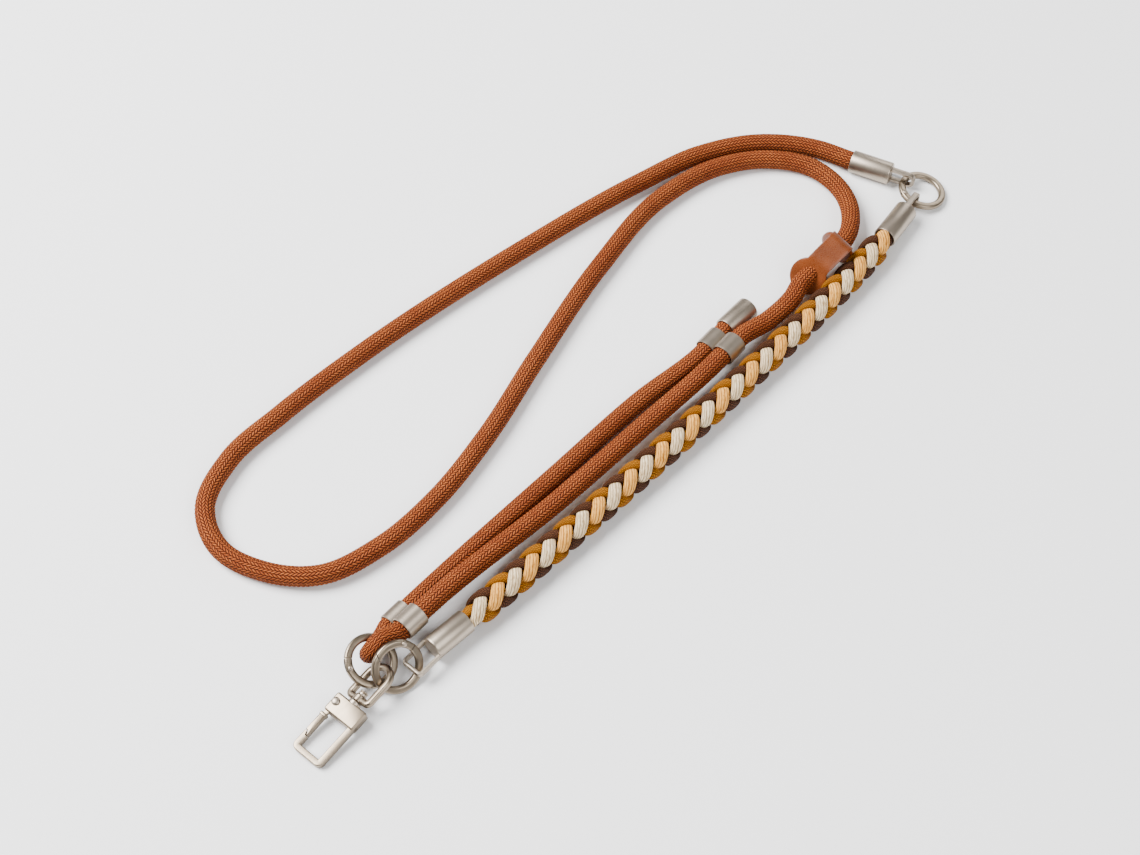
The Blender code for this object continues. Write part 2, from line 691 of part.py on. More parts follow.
def gate_cut(offset, outer, inner):
    """Stepped cut near the gate's tip, as arcs about the pivot; offset moves it along and across."""
    step = GATE_STEP_SIDE + offset
    stations = [(outer, GATE_OUTER_REACH), (step + GATE_STEP_WIDTH, GATE_OUTER_REACH),
                (step - GATE_STEP_WIDTH, GATE_INNER_REACH), (inner, GATE_INNER_REACH)]
    points = []
    for side, reach in stations:
        reach += offset
        points.append((HOOK_PIVOT[0] - math.sqrt(reach ** 2 - side ** 2), HOOK_PIVOT[1] + side))
    return points


def rounded_box(x0, x1, half, corner, round_front=True):
    """Outline of a box about the X axis with round corners at x0, and at x1 if asked."""
    back = arc((x0 + corner, half - corner), corner, math.pi / 2, math.pi, 3)
    back += arc((x0 + corner, corner - half), corner, math.pi, 1.5 * math.pi, 3)
    if not round_front:
        return back + [(x1, -half), (x1, half)]
    front = arc((x1 - corner, corner - half), corner, -math.pi / 2, 0, 3)
    return back + front + arc((x1 - corner, half - corner), corner, 0, math.pi / 2, 3)


def make_hook_frame():
    """Rectangular frame, block with a slot for the gate, and collar, as one soldered solid."""
    embedded = BLOCK_BACK + 0.25 * BLOCK_LENGTH
    item = prism("hook_frame", rounded_box(HOOK_TIP, embedded, HOOK_HALF, HOOK_CORNER, False),
                 HOOK_BAR_THICKNESS / 2, NICKEL, HOOK_FRAME)
    hole_front = embedded - HOOK_ROOT
    opening = rounded_box(HOLE_END, hole_front, HOLE_HALF, 0.6 * HOOK_CORNER, False)
    cut_away(item, prism("hook_frame_opening", opening, BLOCK_THICKNESS))
    outside = HOOK_HALF + HOOK_TOOL_REACH
    inside = HOLE_HALF - HOOK_ROOT
    channel = gate_cut(FIT_GAP / 2, outside - HOOK_PIVOT_SIDE, inside - HOOK_PIVOT_SIDE)
    channel += [(hole_front, inside), (hole_front, outside)]
    cut_away(item, prism("hook_frame_channel", channel, BLOCK_THICKNESS))
    block = rounded_box(BLOCK_BACK, BLOCK_FRONT, HOOK_HALF, 0.4 * HOOK_CORNER)
    add_solid(item, prism("hook_block", block, BLOCK_THICKNESS / 2))
    add_solid(item, rod("hook_collar", BLOCK_FRONT - HOOK_ROOT, COLLAR_FACE, COLLAR_RADIUS, 16))
    slot_inner = HOOK_PIVOT_SIDE - HOOK_PIVOT_SETBACK * math.sin(GATE_SWING) - GATE_TONGUE_RADIUS
    slot_front = HOOK_PIVOT[0] + GATE_TONGUE_RADIUS + 2 * FIT_GAP
    slot_back = BLOCK_BACK - HOOK_TOOL_REACH
    slot = [(slot_back, slot_inner), (slot_front, slot_inner), (slot_front, outside), (slot_back, outside)]
    cut_away(item, prism("hook_block_slot", slot, GATE_TONGUE_THICKNESS / 2 + FIT_GAP))
    hole = HOOK_RIVET_RADIUS + FIT_GAP
    cut_away(item, rod("hook_block_hole", -BLOCK_THICKNESS, BLOCK_THICKNESS, hole, 12, "Z", HOOK_PIVOT))
    pin_end = BLOCK_FRONT - PIN_DEPTH - FIT_GAP
    cut_away(item, rod("hook_pin_hole", pin_end, 0, PIN_RADIUS + FIT_GAP, 12))


def make_hook_pin():
    """Swivel pin through the bow's boss, with a grooved head inside the bow."""
    head = BOW_WIRE + FIT_GAP
    end = head + PIN_HEAD_LENGTH
    groove = head + 0.5 * PIN_HEAD_LENGTH
    half = 0.16 * PIN_HEAD_LENGTH
    profile = [
        (BLOCK_FRONT - PIN_DEPTH, 0),
        (BLOCK_FRONT - PIN_DEPTH, PIN_RADIUS),
        (head, PIN_RADIUS),
        (head, PIN_HEAD_RADIUS),
        (groove - half, PIN_HEAD_RADIUS),
        (groove, 0.85 * PIN_HEAD_RADIUS),
        (groove + half, PIN_HEAD_RADIUS),
        (end - half, 0.9 * PIN_HEAD_RADIUS),
        (end, 0.5 * PIN_HEAD_RADIUS),
        (end, 0),
    ]
    turned("hook_pin", profile, 10, NICKEL, HOOK_FRAME)


def make_hook_gate():
    """Long gate in its own frame on the rivet's axis: thin tongue, collar and bar with a stepped tip."""
    inner = HOLE_HALF + FIT_GAP / 2 - HOOK_PIVOT_SIDE
    outer = HOOK_HALF - HOOK_PIVOT_SIDE
    root = -HOOK_PIVOT_SETBACK - GATE_BAR_SETBACK
    tip = [(x - HOOK_PIVOT[0], y - HOOK_PIVOT[1]) for x, y in gate_cut(-FIT_GAP / 2, outer, inner)]
    bar = tip + [(root, inner), (root, outer)]
    item = prism("hook_gate", bar, HOOK_BAR_THICKNESS / 2, NICKEL, PIVOT_FRAME)
    collar_end = root - GATE_COLLAR_LENGTH
    low = inner - GATE_COLLAR_STAND
    high = outer + GATE_COLLAR_STAND
    front = root + GATE_COLLAR_STAND
    collar = [(front, low), (front, high), (collar_end, high), (collar_end, low)]
    add_solid(item, prism("hook_gate_collar", collar, HOOK_BAR_THICKNESS / 2 + GATE_COLLAR_STAND))
    eye = arc((0, 0), GATE_TONGUE_RADIUS, -math.pi / 2, math.pi / 2, 8)
    middle = root - GATE_COLLAR_LENGTH / 2
    tongue = eye + [(middle, outer - GATE_TONGUE_INSET), (middle, inner + GATE_TONGUE_INSET)]
    add_solid(item, prism("hook_gate_tongue", tongue, GATE_TONGUE_THICKNESS / 2))
    hole = HOOK_RIVET_RADIUS + FIT_GAP
    cut_away(item, rod("hook_gate_hole", -BLOCK_THICKNESS, BLOCK_THICKNESS, hole, 12, "Z"))


def make_hook():
    make_bow()
    make_hook_frame()
    make_hook_pin()
    make_hook_gate()
    upright = Matrix.Rotation(-math.pi / 2, 4, "Y")
    make_rivet("hook_rivet", HOOK_RIVET_RADIUS, BLOCK_THICKNESS / 2, HOOK_RIVET_HEAD, HOOK_RIVET_DOME,
               PIVOT_FRAME @ upright)


# Braid

BRAID_OUTER = STRAND_RADIUS + STRAND_SWING + STRAND_HEIGHT / 2
BRAID_START = place(BRAID_BOTTOM_RIM)
BRAID_END = place(BRAID_TOP_RIM)
BRAID_LENGTH = (BRAID_END - BRAID_START).length


def smooth_step(share):
    share = min(max(share, 0.0), 1.0)
    return share * share * (3 - 2 * share)


def even_share(share):
    """Parameter of the braid's curve at an even share of its length."""
    slack = 1 - BRAID_BOW_SHARE
    t = share
    for _ in range(5):
        reached = BRAID_BOW_SHARE * t + slack * t ** 2 * (3 - 2 * t)
        t -= (reached - share) / (BRAID_BOW_SHARE + 6 * slack * t * (1 - t))
    return t


def braid_axis(travel):
    """Point and direction of the braid's axis at a length from the bottom cap's rim."""
    leave = -BRAID_BOTTOM_FRAME.col[0].to_3d()
    arrive = -BRAID_TOP_FRAME.col[0].to_3d()
    if travel <= 0:
        return BRAID_START + leave * travel, leave
    if travel >= BRAID_LENGTH:
        return BRAID_END - arrive * (travel - BRAID_LENGTH), -arrive
    pull = BRAID_BOW_SHARE * BRAID_LENGTH

    def middle(share):
        a = 2 * share ** 3 - 3 * share ** 2 + 1
        b = share ** 3 - 2 * share ** 2 + share
        c = share ** 3 - share ** 2
        point = BRAID_START * a + leave * pull * b + BRAID_END * (1 - a) - arrive * pull * c
        near = min(share, 1 - share) * BRAID_LENGTH
        point.z = BRAID_BOTTOM_RIM[2] + (BRAID_HEIGHT - BRAID_BOTTOM_RIM[2]) * smooth_step(near / BRAID_RISE)
        return point

    share = even_share(travel / BRAID_LENGTH)
    step = 0.002
    heading = middle(min(share + step, 1)) - middle(max(share - step, 0))
    return middle(share), heading.normalized()


def make_braid_sleeve(name):
    """Tool round the braid beside the keeper, where the keeper's leather gives way to the braid."""
    last = BRAID_LENGTH - BRAID_LEAD
    first = last - 4 * KEEPER_SPAN
    loops = []
    for step in range(9):
        travel = first + (last - first) * step / 8
        loop = []
        for side in range(16):
            point, outward = strand_centre(travel, 2 * math.pi * side / 16, BRAID_OUTER + KEEPER_RELIEF)
            loop.append(point)
        loops.append(loop)
    return skin(name, loops)


def strand_stations(way, phase):
    """Rows of a strand: travel along the braid, angle round it, radius, width and height."""
    rows = [(-BRAID_INSERT, phase, STRAND_MOUTH_RADIUS, STRAND_MOUTH_WIDTH),
            (-FIT_GAP - BRAID_LEAD / 2, phase, STRAND_MOUTH_RADIUS, STRAND_MOUTH_WIDTH),
            (BRAID_LEAD, phase, STRAND_RADIUS, STRAND_WIDTH)]
    pattern = BRAID_LENGTH - 2 * BRAID_LEAD
    count = round(BRAID_TURNS * STRAND_STATIONS)
    for i in range(count):
        turned_by = 2 * math.pi * (i + 0.5) / STRAND_STATIONS
        angle = phase + way * turned_by
        above = way * math.cos(2 * angle)
        side = 1 if above > 0 else -1
        travel = BRAID_LEAD + pattern * (i + 0.5) / count + STRAND_STRETCH * math.sin(2 * angle)
        rows.append((travel, angle, STRAND_RADIUS + side * STRAND_SWING,
                     STRAND_WIDTH + side * STRAND_WIDTH_SWING))
    last = phase + way * 2 * math.pi * BRAID_TURNS
    rows += [(BRAID_LENGTH - BRAID_LEAD, last, STRAND_RADIUS, STRAND_WIDTH),
             (BRAID_LENGTH + FIT_GAP + BRAID_LEAD / 2, last, STRAND_MOUTH_RADIUS, STRAND_MOUTH_WIDTH),
             (BRAID_LENGTH + BRAID_INSERT, last, STRAND_MOUTH_RADIUS, STRAND_MOUTH_WIDTH)]
    return rows


def strand_centre(travel, angle, radius):
    """Centre of a strand and its outward direction."""
    point, heading = braid_axis(travel)
    left = Vector((0, 0, 1)).cross(heading).normalized()
    up = heading.cross(left)
    outward = up * math.cos(angle + BRAID_ROLL) + left * math.sin(angle + BRAID_ROLL)
    return point + outward * radius, outward


def make_strand(name, way, phase, finish):
    """One strand; way is its sense round the braid and phase its angle at the bottom cap."""
    rows = strand_stations(way, math.radians(phase))
    centres = [strand_centre(travel, angle, radius) for travel, angle, radius, width in rows]
    loops = []
    for i, (travel, angle, radius, width) in enumerate(rows):
        point, outward = centres[i]
        ahead = centres[min(i + 1, len(rows) - 1)][0]
        behind = centres[max(i - 1, 0)][0]
        heading = (ahead - behind).normalized()
        normal = (outward - heading * outward.dot(heading)).normalized()
        across = heading.cross(normal)
        loop = []
        for k in range(STRAND_SIDES):
            turn = 2 * math.pi * k / STRAND_SIDES
            offset = across * (width / 2 * math.cos(turn)) + normal * (STRAND_HEIGHT / 2 * math.sin(turn))
            loop.append(point + offset)
        loops.append(loop)
    skin(name, loops, finish)


def make_braid():
    make_strand("strand_cream", 1, -45, CREAM_YARN)
    make_strand("strand_peach", 1, 135, PEACH_YARN)
    make_strand("strand_ochre", -1, 45, OCHRE_YARN)
    make_strand("strand_brown", -1, -135, BROWN_YARN)


# Rope

def free_stops(points, share=1.0):
    return [(place(point), None, share) for point in points]


def guide_stops(frame, first, last, side=0.0):
    """Two stops that hold the rope straight along a frame's X axis, from x = first to x = last."""
    heading = frame.col[0].to_3d() * (1 if last > first else -1)
    return [(frame @ Vector((x, side, 0)), heading, 1.0) for x in (first, last)]


def rope_stops():
    """The rope's whole route, from the bottom of the rope cap to the bottom of the free end cap."""
    rope_cap_depth = ROPE_CAP_LENGTH - CAP_END_WALL - FIT_GAP
    free_cap_depth = FREE_CAP_LENGTH - CAP_END_WALL - FIT_GAP
    before = -ROPE_GUIDE
    beyond = FERRULE_LENGTH + ROPE_GUIDE
    reach = 2 * KEEPER_THICKNESS
    stops = guide_stops(ROPE_CAP_FRAME, rope_cap_depth, before)
    stops += free_stops(ROPE_OUTER_RUN)
    stops += guide_stops(KEEPER_FRAME, KEEPER_SPAN + KEEPER_THICKNESS, -reach)
    stops += free_stops(ROPE_BELOW_KEEPER)
    stops += guide_stops(UPPER_FERRULE_FRAME, beyond, before, -FERRULE_SPACING)
    stops += free_stops(ROPE_RIGHT_STRAND)
    stops += guide_stops(LOWER_FERRULE_FRAME, beyond, before, -FERRULE_SPACING)
    stops += free_stops(ROPE_BIGHT, ROPE_BIGHT_SHARE)
    stops += guide_stops(LOWER_FERRULE_FRAME, before, beyond)
    stops += free_stops(reversed(ROPE_LEFT_STRAND))
    stops += guide_stops(UPPER_FERRULE_FRAME, before, beyond)
    stops += guide_stops(FREE_CAP_FRAME, before, free_cap_depth)
    return stops


def headings(stops):
    """Direction of the smooth route at every stop."""
    found = []
    for i, (point, heading, share) in enumerate(stops):
        if heading is None:
            back = point - stops[i - 1][0]
            ahead = stops[i + 1][0] - point
            heading = back.normalized() * ahead.length + ahead.normalized() * back.length
        found.append(heading.normalized())
    return found


def rope_points():
    """Points of the rope's centre line read from a smooth curve through its stops."""
    stops = rope_stops()
    directions = headings(stops)
    points = []
    for i in range(len(stops) - 1):
        start, _, first_share = stops[i]
        end, _, last_share = stops[i + 1]
        chord = end - start
        turn = directions[i].angle(chord) + chord.angle(directions[i + 1])
        steps = max(1, math.ceil(max(chord.length / ROPE_STEP, turn / ROPE_TURN)))
        for step in range(steps):
            t = step / steps
            a = 2 * t ** 3 - 3 * t ** 2 + 1
            b = t ** 3 - 2 * t ** 2 + t
            c = t ** 3 - t ** 2
            bend = (directions[i] * b + directions[i + 1] * c) * chord.length
            points.append((start * a + end * (1 - a) + bend, first_share * (1 - t) + last_share * t))
    points.append((stops[-1][0], stops[-1][2]))
    return points


def make_rope():
    """Round rope as a bevelled curve."""
    curve = bpy.data.curves.new("rope", "CURVE")
    curve.dimensions = "3D"
    curve.bevel_depth = ROPE_RADIUS
    curve.bevel_resolution = 2
    curve.use_fill_caps = True
    line = curve.splines.new("POLY")
    points = rope_points()
    line.points.add(len(points) - 1)
    for target, (point, share) in zip(line.points, points):
        target.co = (*point, 1.0)
        target.radius = share
    curve.materials.append(surface(RUST_ROPE))
    bpy.context.collection.objects.link(bpy.data.objects.new("rope", curve))


make_caps()
make_ferrule("upper_ferrule", UPPER_FERRULE_FRAME)
make_ferrule("lower_ferrule", LOWER_FERRULE_FRAME)
make_keeper()
for ring_name, ring_values in RINGS.items():
    make_ring(ring_name, *ring_values)
make_hook()
make_braid()
make_rope()
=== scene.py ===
"""Dressed scene of a crossbody phone strap that lies on a pale surface.

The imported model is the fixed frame.  The rope, the braid, the metal and the leather get detailed pieces that
keep the form and the place of the solids that they replace.
"""

import math

import bmesh
import bpy
from mathutils import Matrix, Vector


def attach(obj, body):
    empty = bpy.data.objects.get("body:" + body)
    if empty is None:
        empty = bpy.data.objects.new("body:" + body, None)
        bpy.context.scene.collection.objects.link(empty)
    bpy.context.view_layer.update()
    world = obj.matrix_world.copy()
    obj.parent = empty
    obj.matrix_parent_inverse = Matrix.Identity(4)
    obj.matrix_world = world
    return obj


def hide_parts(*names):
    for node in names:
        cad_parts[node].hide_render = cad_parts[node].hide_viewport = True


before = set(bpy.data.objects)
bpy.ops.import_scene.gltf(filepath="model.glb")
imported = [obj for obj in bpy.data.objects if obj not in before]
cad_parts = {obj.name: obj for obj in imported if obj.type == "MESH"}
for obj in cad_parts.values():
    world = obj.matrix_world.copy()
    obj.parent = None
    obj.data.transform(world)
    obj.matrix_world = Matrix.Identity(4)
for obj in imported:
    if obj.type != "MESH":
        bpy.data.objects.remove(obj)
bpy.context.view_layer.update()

# Sizes shared with the solids
FIT_GAP = 0.0003
PLAN_CENTRE = (0.0302, -0.0041)
ROPE_RADIUS = 0.004
ROPE_BIGHT_SHARE = 0.875
ROPE_GUIDE = 0.0005
CAP_RADIUS = 0.0048
CAP_BORE = 0.00425
CAP_END_WALL = 0.0024
CAP_EDGE = 0.0008
ROPE_CAP_LENGTH = 0.0177
BRAID_TOP_CAP_LENGTH = 0.0191
BRAID_BOTTOM_CAP_LENGTH = 0.0171
FREE_CAP_LENGTH = 0.0152
LOOP_STRIP_WIDTH = 0.0024
LOOP_STRIP_THICKNESS = 0.0013
LOOP_ROOT = 0.0012
UPRIGHT_LOOP_INSIDE = 0.0045
UPRIGHT_LOOP_CORNER = 0.0022
ROPE_CAP_LOOP_REACH = 0.0105
BRAID_TOP_LOOP_REACH = 0.0097
SQUARE_LOOP_INSIDE = 0.0070
SQUARE_LOOP_REACH = 0.0112
SQUARE_LOOP_CORNER = 0.0011
FERRULE_LENGTH = 0.0092
FERRULE_BORE = 0.0043
FERRULE_OUTER = 0.0048
FERRULE_SPACING = 0.0089
KEEPER_THICKNESS = 0.0016
KEEPER_DISC_RADIUS = 0.0077
KEEPER_NECK_WIDTH = 0.0105
KEEPER_LEAN = math.radians(48)
KEEPER_RAMP = math.radians(17)
KEEPER_FRONT_BEND = 0.0060
KEEPER_CREST_BEND = 0.0030
KEEPER_FRONT_STRAIGHT = 0.0060
RING_RADIUS = 0.00875
RING_RADIAL = 0.0030
RING_AXIAL = 0.0024
RING_TONGUE_THICKNESS = 0.0008
RING_TONGUE_WIDTH = 0.0024
RING_RIVET_HEAD = 0.00105
RING_RIVET_DOME = 0.00035
BOW_LENGTH = 0.0150
BOW_WIDTH = 0.0108
BOW_WIRE = 0.00135
BOW_CORNER = 0.0013
BOW_BOSS = 0.0022
PIN_RADIUS = 0.0008
PIN_DEPTH = 0.0028
PIN_HEAD_RADIUS = 0.00175
PIN_HEAD_LENGTH = 0.0019
COLLAR_RADIUS = 0.0026
COLLAR_LENGTH = 0.0010
BLOCK_LENGTH = 0.0080
BLOCK_THICKNESS = 0.0048
HOOK_WIDTH = 0.0140
HOOK_BAR = 0.00245
HOOK_BAR_THICKNESS = 0.0028
HOOK_HOLE_LENGTH = 0.0152
HOOK_CORNER = 0.0020
HOOK_PIVOT_SETBACK = 0.0045
HOOK_PIVOT_SIDE = 0.0051
HOOK_RIVET_HEAD = 0.00165
HOOK_RIVET_DOME = 0.0006
GATE_TONGUE_THICKNESS = 0.0015
GATE_TONGUE_RADIUS = 0.0017
GATE_BAR_SETBACK = 0.0012
GATE_COLLAR_LENGTH = 0.0012
GATE_COLLAR_STAND = 0.0002
GATE_OUTER_REACH = 0.0144
GATE_INNER_REACH = 0.0160
GATE_STEP_SIDE = 0.0007
GATE_STEP_WIDTH = 0.0003
GATE_SWING = math.radians(25)
BRAID_TURNS = 13.75
BRAID_LEAD = 0.0026
BRAID_INSERT = 0.0080
BRAID_HEIGHT = 0.00602
BRAID_RISE = 0.0110
BRAID_BOW_SHARE = 0.6
BRAID_ROLL = math.radians(-25)

# Places shared with the solids, before the plan is centred
ROPE_CAP_RIM = (0.1205, 0.13415, 0.00485)
ROPE_CAP_HEADING = math.radians(-24.4)
BRAID_TOP_RIM = (0.1307, 0.0912, 0.00585)
BRAID_TOP_HEADING = math.radians(56)
BRAID_TOP_PITCH = math.radians(-3)
BRAID_BOTTOM_RIM = (-0.0382, -0.0897, 0.00585)
BRAID_BOTTOM_HEADING = math.radians(223.6)
BRAID_BOTTOM_PITCH = math.radians(-0.3)
SQUARE_LOOP_HEADING = math.radians(229)
FREE_CAP_RIM = (0.0627, 0.0445, 0.00485)
FREE_CAP_HEADING = math.radians(48.5)
UPPER_FERRULE = (0.0543, 0.0340, 0.00485)
UPPER_FERRULE_HEADING = math.radians(50.5)
UPPER_FERRULE_ROLL = math.radians(-24)
LOWER_FERRULE = (-0.0664, -0.0914, 0.00485)
LOWER_FERRULE_HEADING = math.radians(48.4)
LOWER_FERRULE_ROLL = math.radians(-40)
KEEPER_FRONT = (0.0976, 0.0702, 0.0070)
KEEPER_BACK = (0.1104, 0.0843, 0.0080)
KEEPER_ROLL = math.radians(19)
HOOK_BASE = (-0.07605, -0.12145, 0.00515)
HOOK_HEADING = math.radians(49.6)
HOOK_PITCH = math.radians(7.6)
BOW_ROLL = math.radians(-22)
RINGS = {
    "top_ring": ((0.1492, 0.1190, 0.00314), 11.8, 190, 228, 202, 160),
    "ring_a": ((-0.0722, -0.1073, 0.00775), 28.5, 148, 179, 205, 278),
    "ring_b": ((-0.06245, -0.11005, 0.00840), 51.5, 128, 48, 74, 152),
}

# The rope's route, point by point as in the solids
ROPE_OUTER_RUN = [
    (0.1065, 0.1415, 0.00410), (0.0815, 0.1449, 0.00410), (0.0560, 0.1386, 0.00410),
    (0.0297, 0.1228, 0.00410), (-0.0207, 0.0856, 0.00410), (-0.0842, 0.0324, 0.00410),
    (-0.1140, 0.0032, 0.00410), (-0.1322, -0.0179, 0.00410), (-0.1394, -0.0406, 0.00410),
    (-0.1320, -0.0580, 0.00410), (-0.1161, -0.0673, 0.00410), (-0.0936, -0.0693, 0.00410),
    (-0.0717, -0.0570, 0.00410), (-0.0517, -0.0362, 0.00410), (-0.0336, -0.0086, 0.00410),
    (-0.0138, 0.0299, 0.00410), (0.0124, 0.0777, 0.00410), (0.0382, 0.1138, 0.00410),
    (0.0645, 0.1318, 0.00410), (0.0855, 0.1356, 0.00410), (0.1030, 0.1312, 0.00410),
    (0.1142, 0.1190, 0.00430), (0.1175, 0.1025, 0.00600),
]
ROPE_BELOW_KEEPER = [(0.0902, 0.0590, 0.00620), (0.0806, 0.0484, 0.00640)]
ROPE_RIGHT_STRAND = [(0.0270, -0.0050, 0.00560), (-0.0040, -0.0370, 0.00560)]
ROPE_BIGHT = [
    (-0.0642, -0.0988, 0.01220), (-0.0680, -0.1010, 0.01355), (-0.0711, -0.1041, 0.01200),
    (-0.0732, -0.1047, 0.00795), (-0.0727, -0.1016, 0.00490), (-0.0709, -0.0980, 0.00385),
    (-0.0688, -0.0948, 0.00430),
]
ROPE_LEFT_STRAND = [(0.0277, 0.0100, 0.00410), (-0.0040, -0.0235, 0.00410)]

# Looks of the rope and the braid
ROPE_COLUMNS = 18
ROPE_CELL = 0.0016
ROPE_SLANT = 1.1
ROPE_EDGE_DIPS = (0.00034, 0.00016)
ROPE_MIDDLE_DIPS = (0.00030, 0.0)
CORD_SLANT = 1.0
YARN_SHEEN = 0.02
PLIES = dict(columns=13, cell=0.001, groove=0.07)
CORDS = dict(columns=14, cell=0.0009, groove=0.05)
STRAND_RADIUS = 0.0034
STRAND_SWING = 0.00135
STRAND_WIDTH = 0.0046
STRAND_WIDTH_SWING = 0.0004
STRAND_STRETCH = 0.0016
STRAND_HEIGHT = 0.0024
STRAND_HEIGHT_SWING = 0.00015
STRAND_MOUTH = (0.0024, 0.0029, 0.0022)
STRAND_SIDES = 44
STRAND_STEPS = 44
STRAND_SHARPNESS = 0.6
STRAND_LEAD_STEPS = 8

# Rounded edges and sharp angles
RIM_EDGE = 0.0002
LOOP_EDGE = 0.00035
RING_EDGE = 0.0009
RING_STEPS = 96
RING_TONGUE_ROOT = math.radians(8)
RING_SLOT_REACH = math.radians(10)
RING_DIMPLE = 0.0002
BOW_EDGE = 0.0011
HOOK_BAR_EDGE = 0.00035
BLOCK_EDGE = 0.0006
COLLAR_EDGE = 0.00025
GATE_EDGE = 0.0004
KEEPER_EDGE = 0.0003
CUT_SPARE = 0.0005
METAL_SHARP = 38
LEATHER_SHARP = 50
YARN_SHARP = 180

# Camera and light
CAMERA_TARGET = Vector((-0.0302, 0.0041, 0.0))
CAMERA_DISTANCE = 0.838
CAMERA_ELEVATION = math.radians(56)
CAMERA_LENS = 67.17
CAMERA_SENSOR = 36.0
FLOOR_REACH = 4.0
FLOOR_COLOUR = (0.93, 0.93, 0.935, 1)
WORLD_STRENGTH = 0.18
LIGHTS = {
    "key": ((-1.1, 0.3, 1.4), 1.1, 115.0),
    "fill": ((0.9, -0.9, 1.3), 1.2, 26.0),
    "back": ((0.7, 1.3, 0.8), 0.7, 8.0),
}


# Stage: camera, floor and light

def add_camera():
    data = bpy.data.cameras.new("view")
    data.lens = CAMERA_LENS
    data.sensor_width = CAMERA_SENSOR
    data.clip_start = 0.01
    item = bpy.data.objects.new("view", data)
    back = Vector((0, -math.cos(CAMERA_ELEVATION), math.sin(CAMERA_ELEVATION)))
    item.location = CAMERA_TARGET + back * CAMERA_DISTANCE
    item.rotation_euler = (-back).to_track_quat("-Z", "Y").to_euler()
    bpy.context.collection.objects.link(item)
    bpy.context.scene.camera = item


def add_light(name, position, size, power):
    """Square soft light that faces the middle of the strap."""
    data = bpy.data.lights.new(name, "AREA")
    data.size = size
    data.energy = power
    item = bpy.data.objects.new(name, data)
    item.location = position
    item.rotation_euler = (-Vector(position)).to_track_quat("-Z", "Y").to_euler()
    bpy.context.collection.objects.link(item)


def add_floor():
    mesh = bpy.data.meshes.new("floor")
    reach = FLOOR_REACH
    corners = [(-reach, -reach, 0), (reach, -reach, 0), (reach, reach, 0), (-reach, reach, 0)]
    mesh.from_pydata(corners, [], [(0, 1, 2, 3)])
    item = bpy.data.objects.new("floor", mesh)
    material = bpy.data.materials.new("pale_floor")
    material.use_nodes = True
    shader = material.node_tree.nodes["Principled BSDF"]
    shader.inputs["Base Color"].default_value = FLOOR_COLOUR
    shader.inputs["Roughness"].default_value = 0.75
    shader.inputs["Specular IOR Level"].default_value = 0.2
    mesh.materials.append(material)
    bpy.context.collection.objects.link(item)


def add_world():
    world = bpy.data.worlds.new("studio")
    world.use_nodes = True
    background = world.node_tree.nodes["Background"]
    background.inputs["Color"].default_value = (1.0, 1.0, 1.0, 1)
    background.inputs["Strength"].default_value = WORLD_STRENGTH
    bpy.context.scene.world = world


# Node materials

class Graph:
    """Short way to write a node material."""

    def __init__(self, name, roughness, metallic=0.0):
        self.material = bpy.data.materials.new(name)
        self.material.use_nodes = True
        self.tree = self.material.node_tree
        self.shader = self.tree.nodes["Principled BSDF"]
        self.shader.inputs["Roughness"].default_value = roughness
        self.shader.inputs["Metallic"].default_value = metallic

    def node(self, kind, *inputs, **settings):
        item = self.tree.nodes.new("ShaderNode" + kind)
        for key, value in settings.items():
            setattr(item, key, value)
        for i, value in enumerate(inputs):
            self.feed(item.inputs[i], value)
        return item

    def feed(self, socket, value):
        if value is None:
            return
        if isinstance(value, bpy.types.NodeSocket):
            self.tree.links.new(value, socket)
        else:
            socket.default_value = value

    def math(self, operation, a, b=None):
        return self.node("Math", a, b, operation=operation).outputs[0]

    def add(self, a, b):
        return self.math("ADD", a, b)

    def times(self, a, b):
        return self.math("MULTIPLY", a, b)

    def hump(self, share, power):
        """One swell from 0 to 0 over a share from 0 to 1."""
        return self.math("POWER", self.math("SINE", self.times(share, math.pi)), power)

    def coordinates(self, kind):
        return self.node("TexCoord").outputs[kind]

    def scaled(self, kind, scale):
        """Texture coordinates times a scale for each axis."""
        return self.node("Mapping", self.coordinates(kind), None, None, scale).outputs[0]

    def noise(self, vector, scale, detail=2.0, rough=0.5):
        item = self.node("TexNoise", noise_dimensions="3D")
        self.feed(item.inputs["Vector"], vector)
        item.inputs["Scale"].default_value = scale
        item.inputs["Detail"].default_value = detail
        item.inputs["Roughness"].default_value = rough
        return item.outputs[0]

    def spread(self, value, low, high, to_low=0.0, to_high=1.0):
        return self.node("MapRange", value, low, high, to_low, to_high).outputs[0]

    def luck(self, x, y):
        """Random value for each pair of whole numbers."""
        key = self.node("CombineXYZ", x, y, 0.0).outputs[0]
        return self.node("TexWhiteNoise", key, noise_dimensions="3D").outputs[0]

    def mix(self, share, first, second):
        item = self.node("Mix", data_type="RGBA")
        self.feed(item.inputs[0], share)
        self.feed(item.inputs[6], (*first, 1) if isinstance(first, tuple) else first)
        self.feed(item.inputs[7], (*second, 1) if isinstance(second, tuple) else second)
        return item.outputs[2]

    def bump(self, height, distance, strength):
        item = self.node("Bump")
        item.inputs["Strength"].default_value = strength
        item.inputs["Distance"].default_value = distance
        self.feed(item.inputs["Height"], height)
        return item.outputs[0]

    def shine(self, specular, sheen=0.0, tint=(1, 1, 1)):
        """Constant gloss and sheen."""
        self.shader.inputs["Specular IOR Level"].default_value = specular
        self.shader.inputs["Sheen Weight"].default_value = sheen
        self.shader.inputs["Sheen Roughness"].default_value = 0.5
        self.shader.inputs["Sheen Tint"].default_value = (*tint, 1)

    def wear(self, colour, normal, roughness=None):
        self.feed(self.shader.inputs["Base Color"], colour)
        self.feed(self.shader.inputs["Normal"], normal)
        self.feed(self.shader.inputs["Roughness"], roughness)
        return self.material


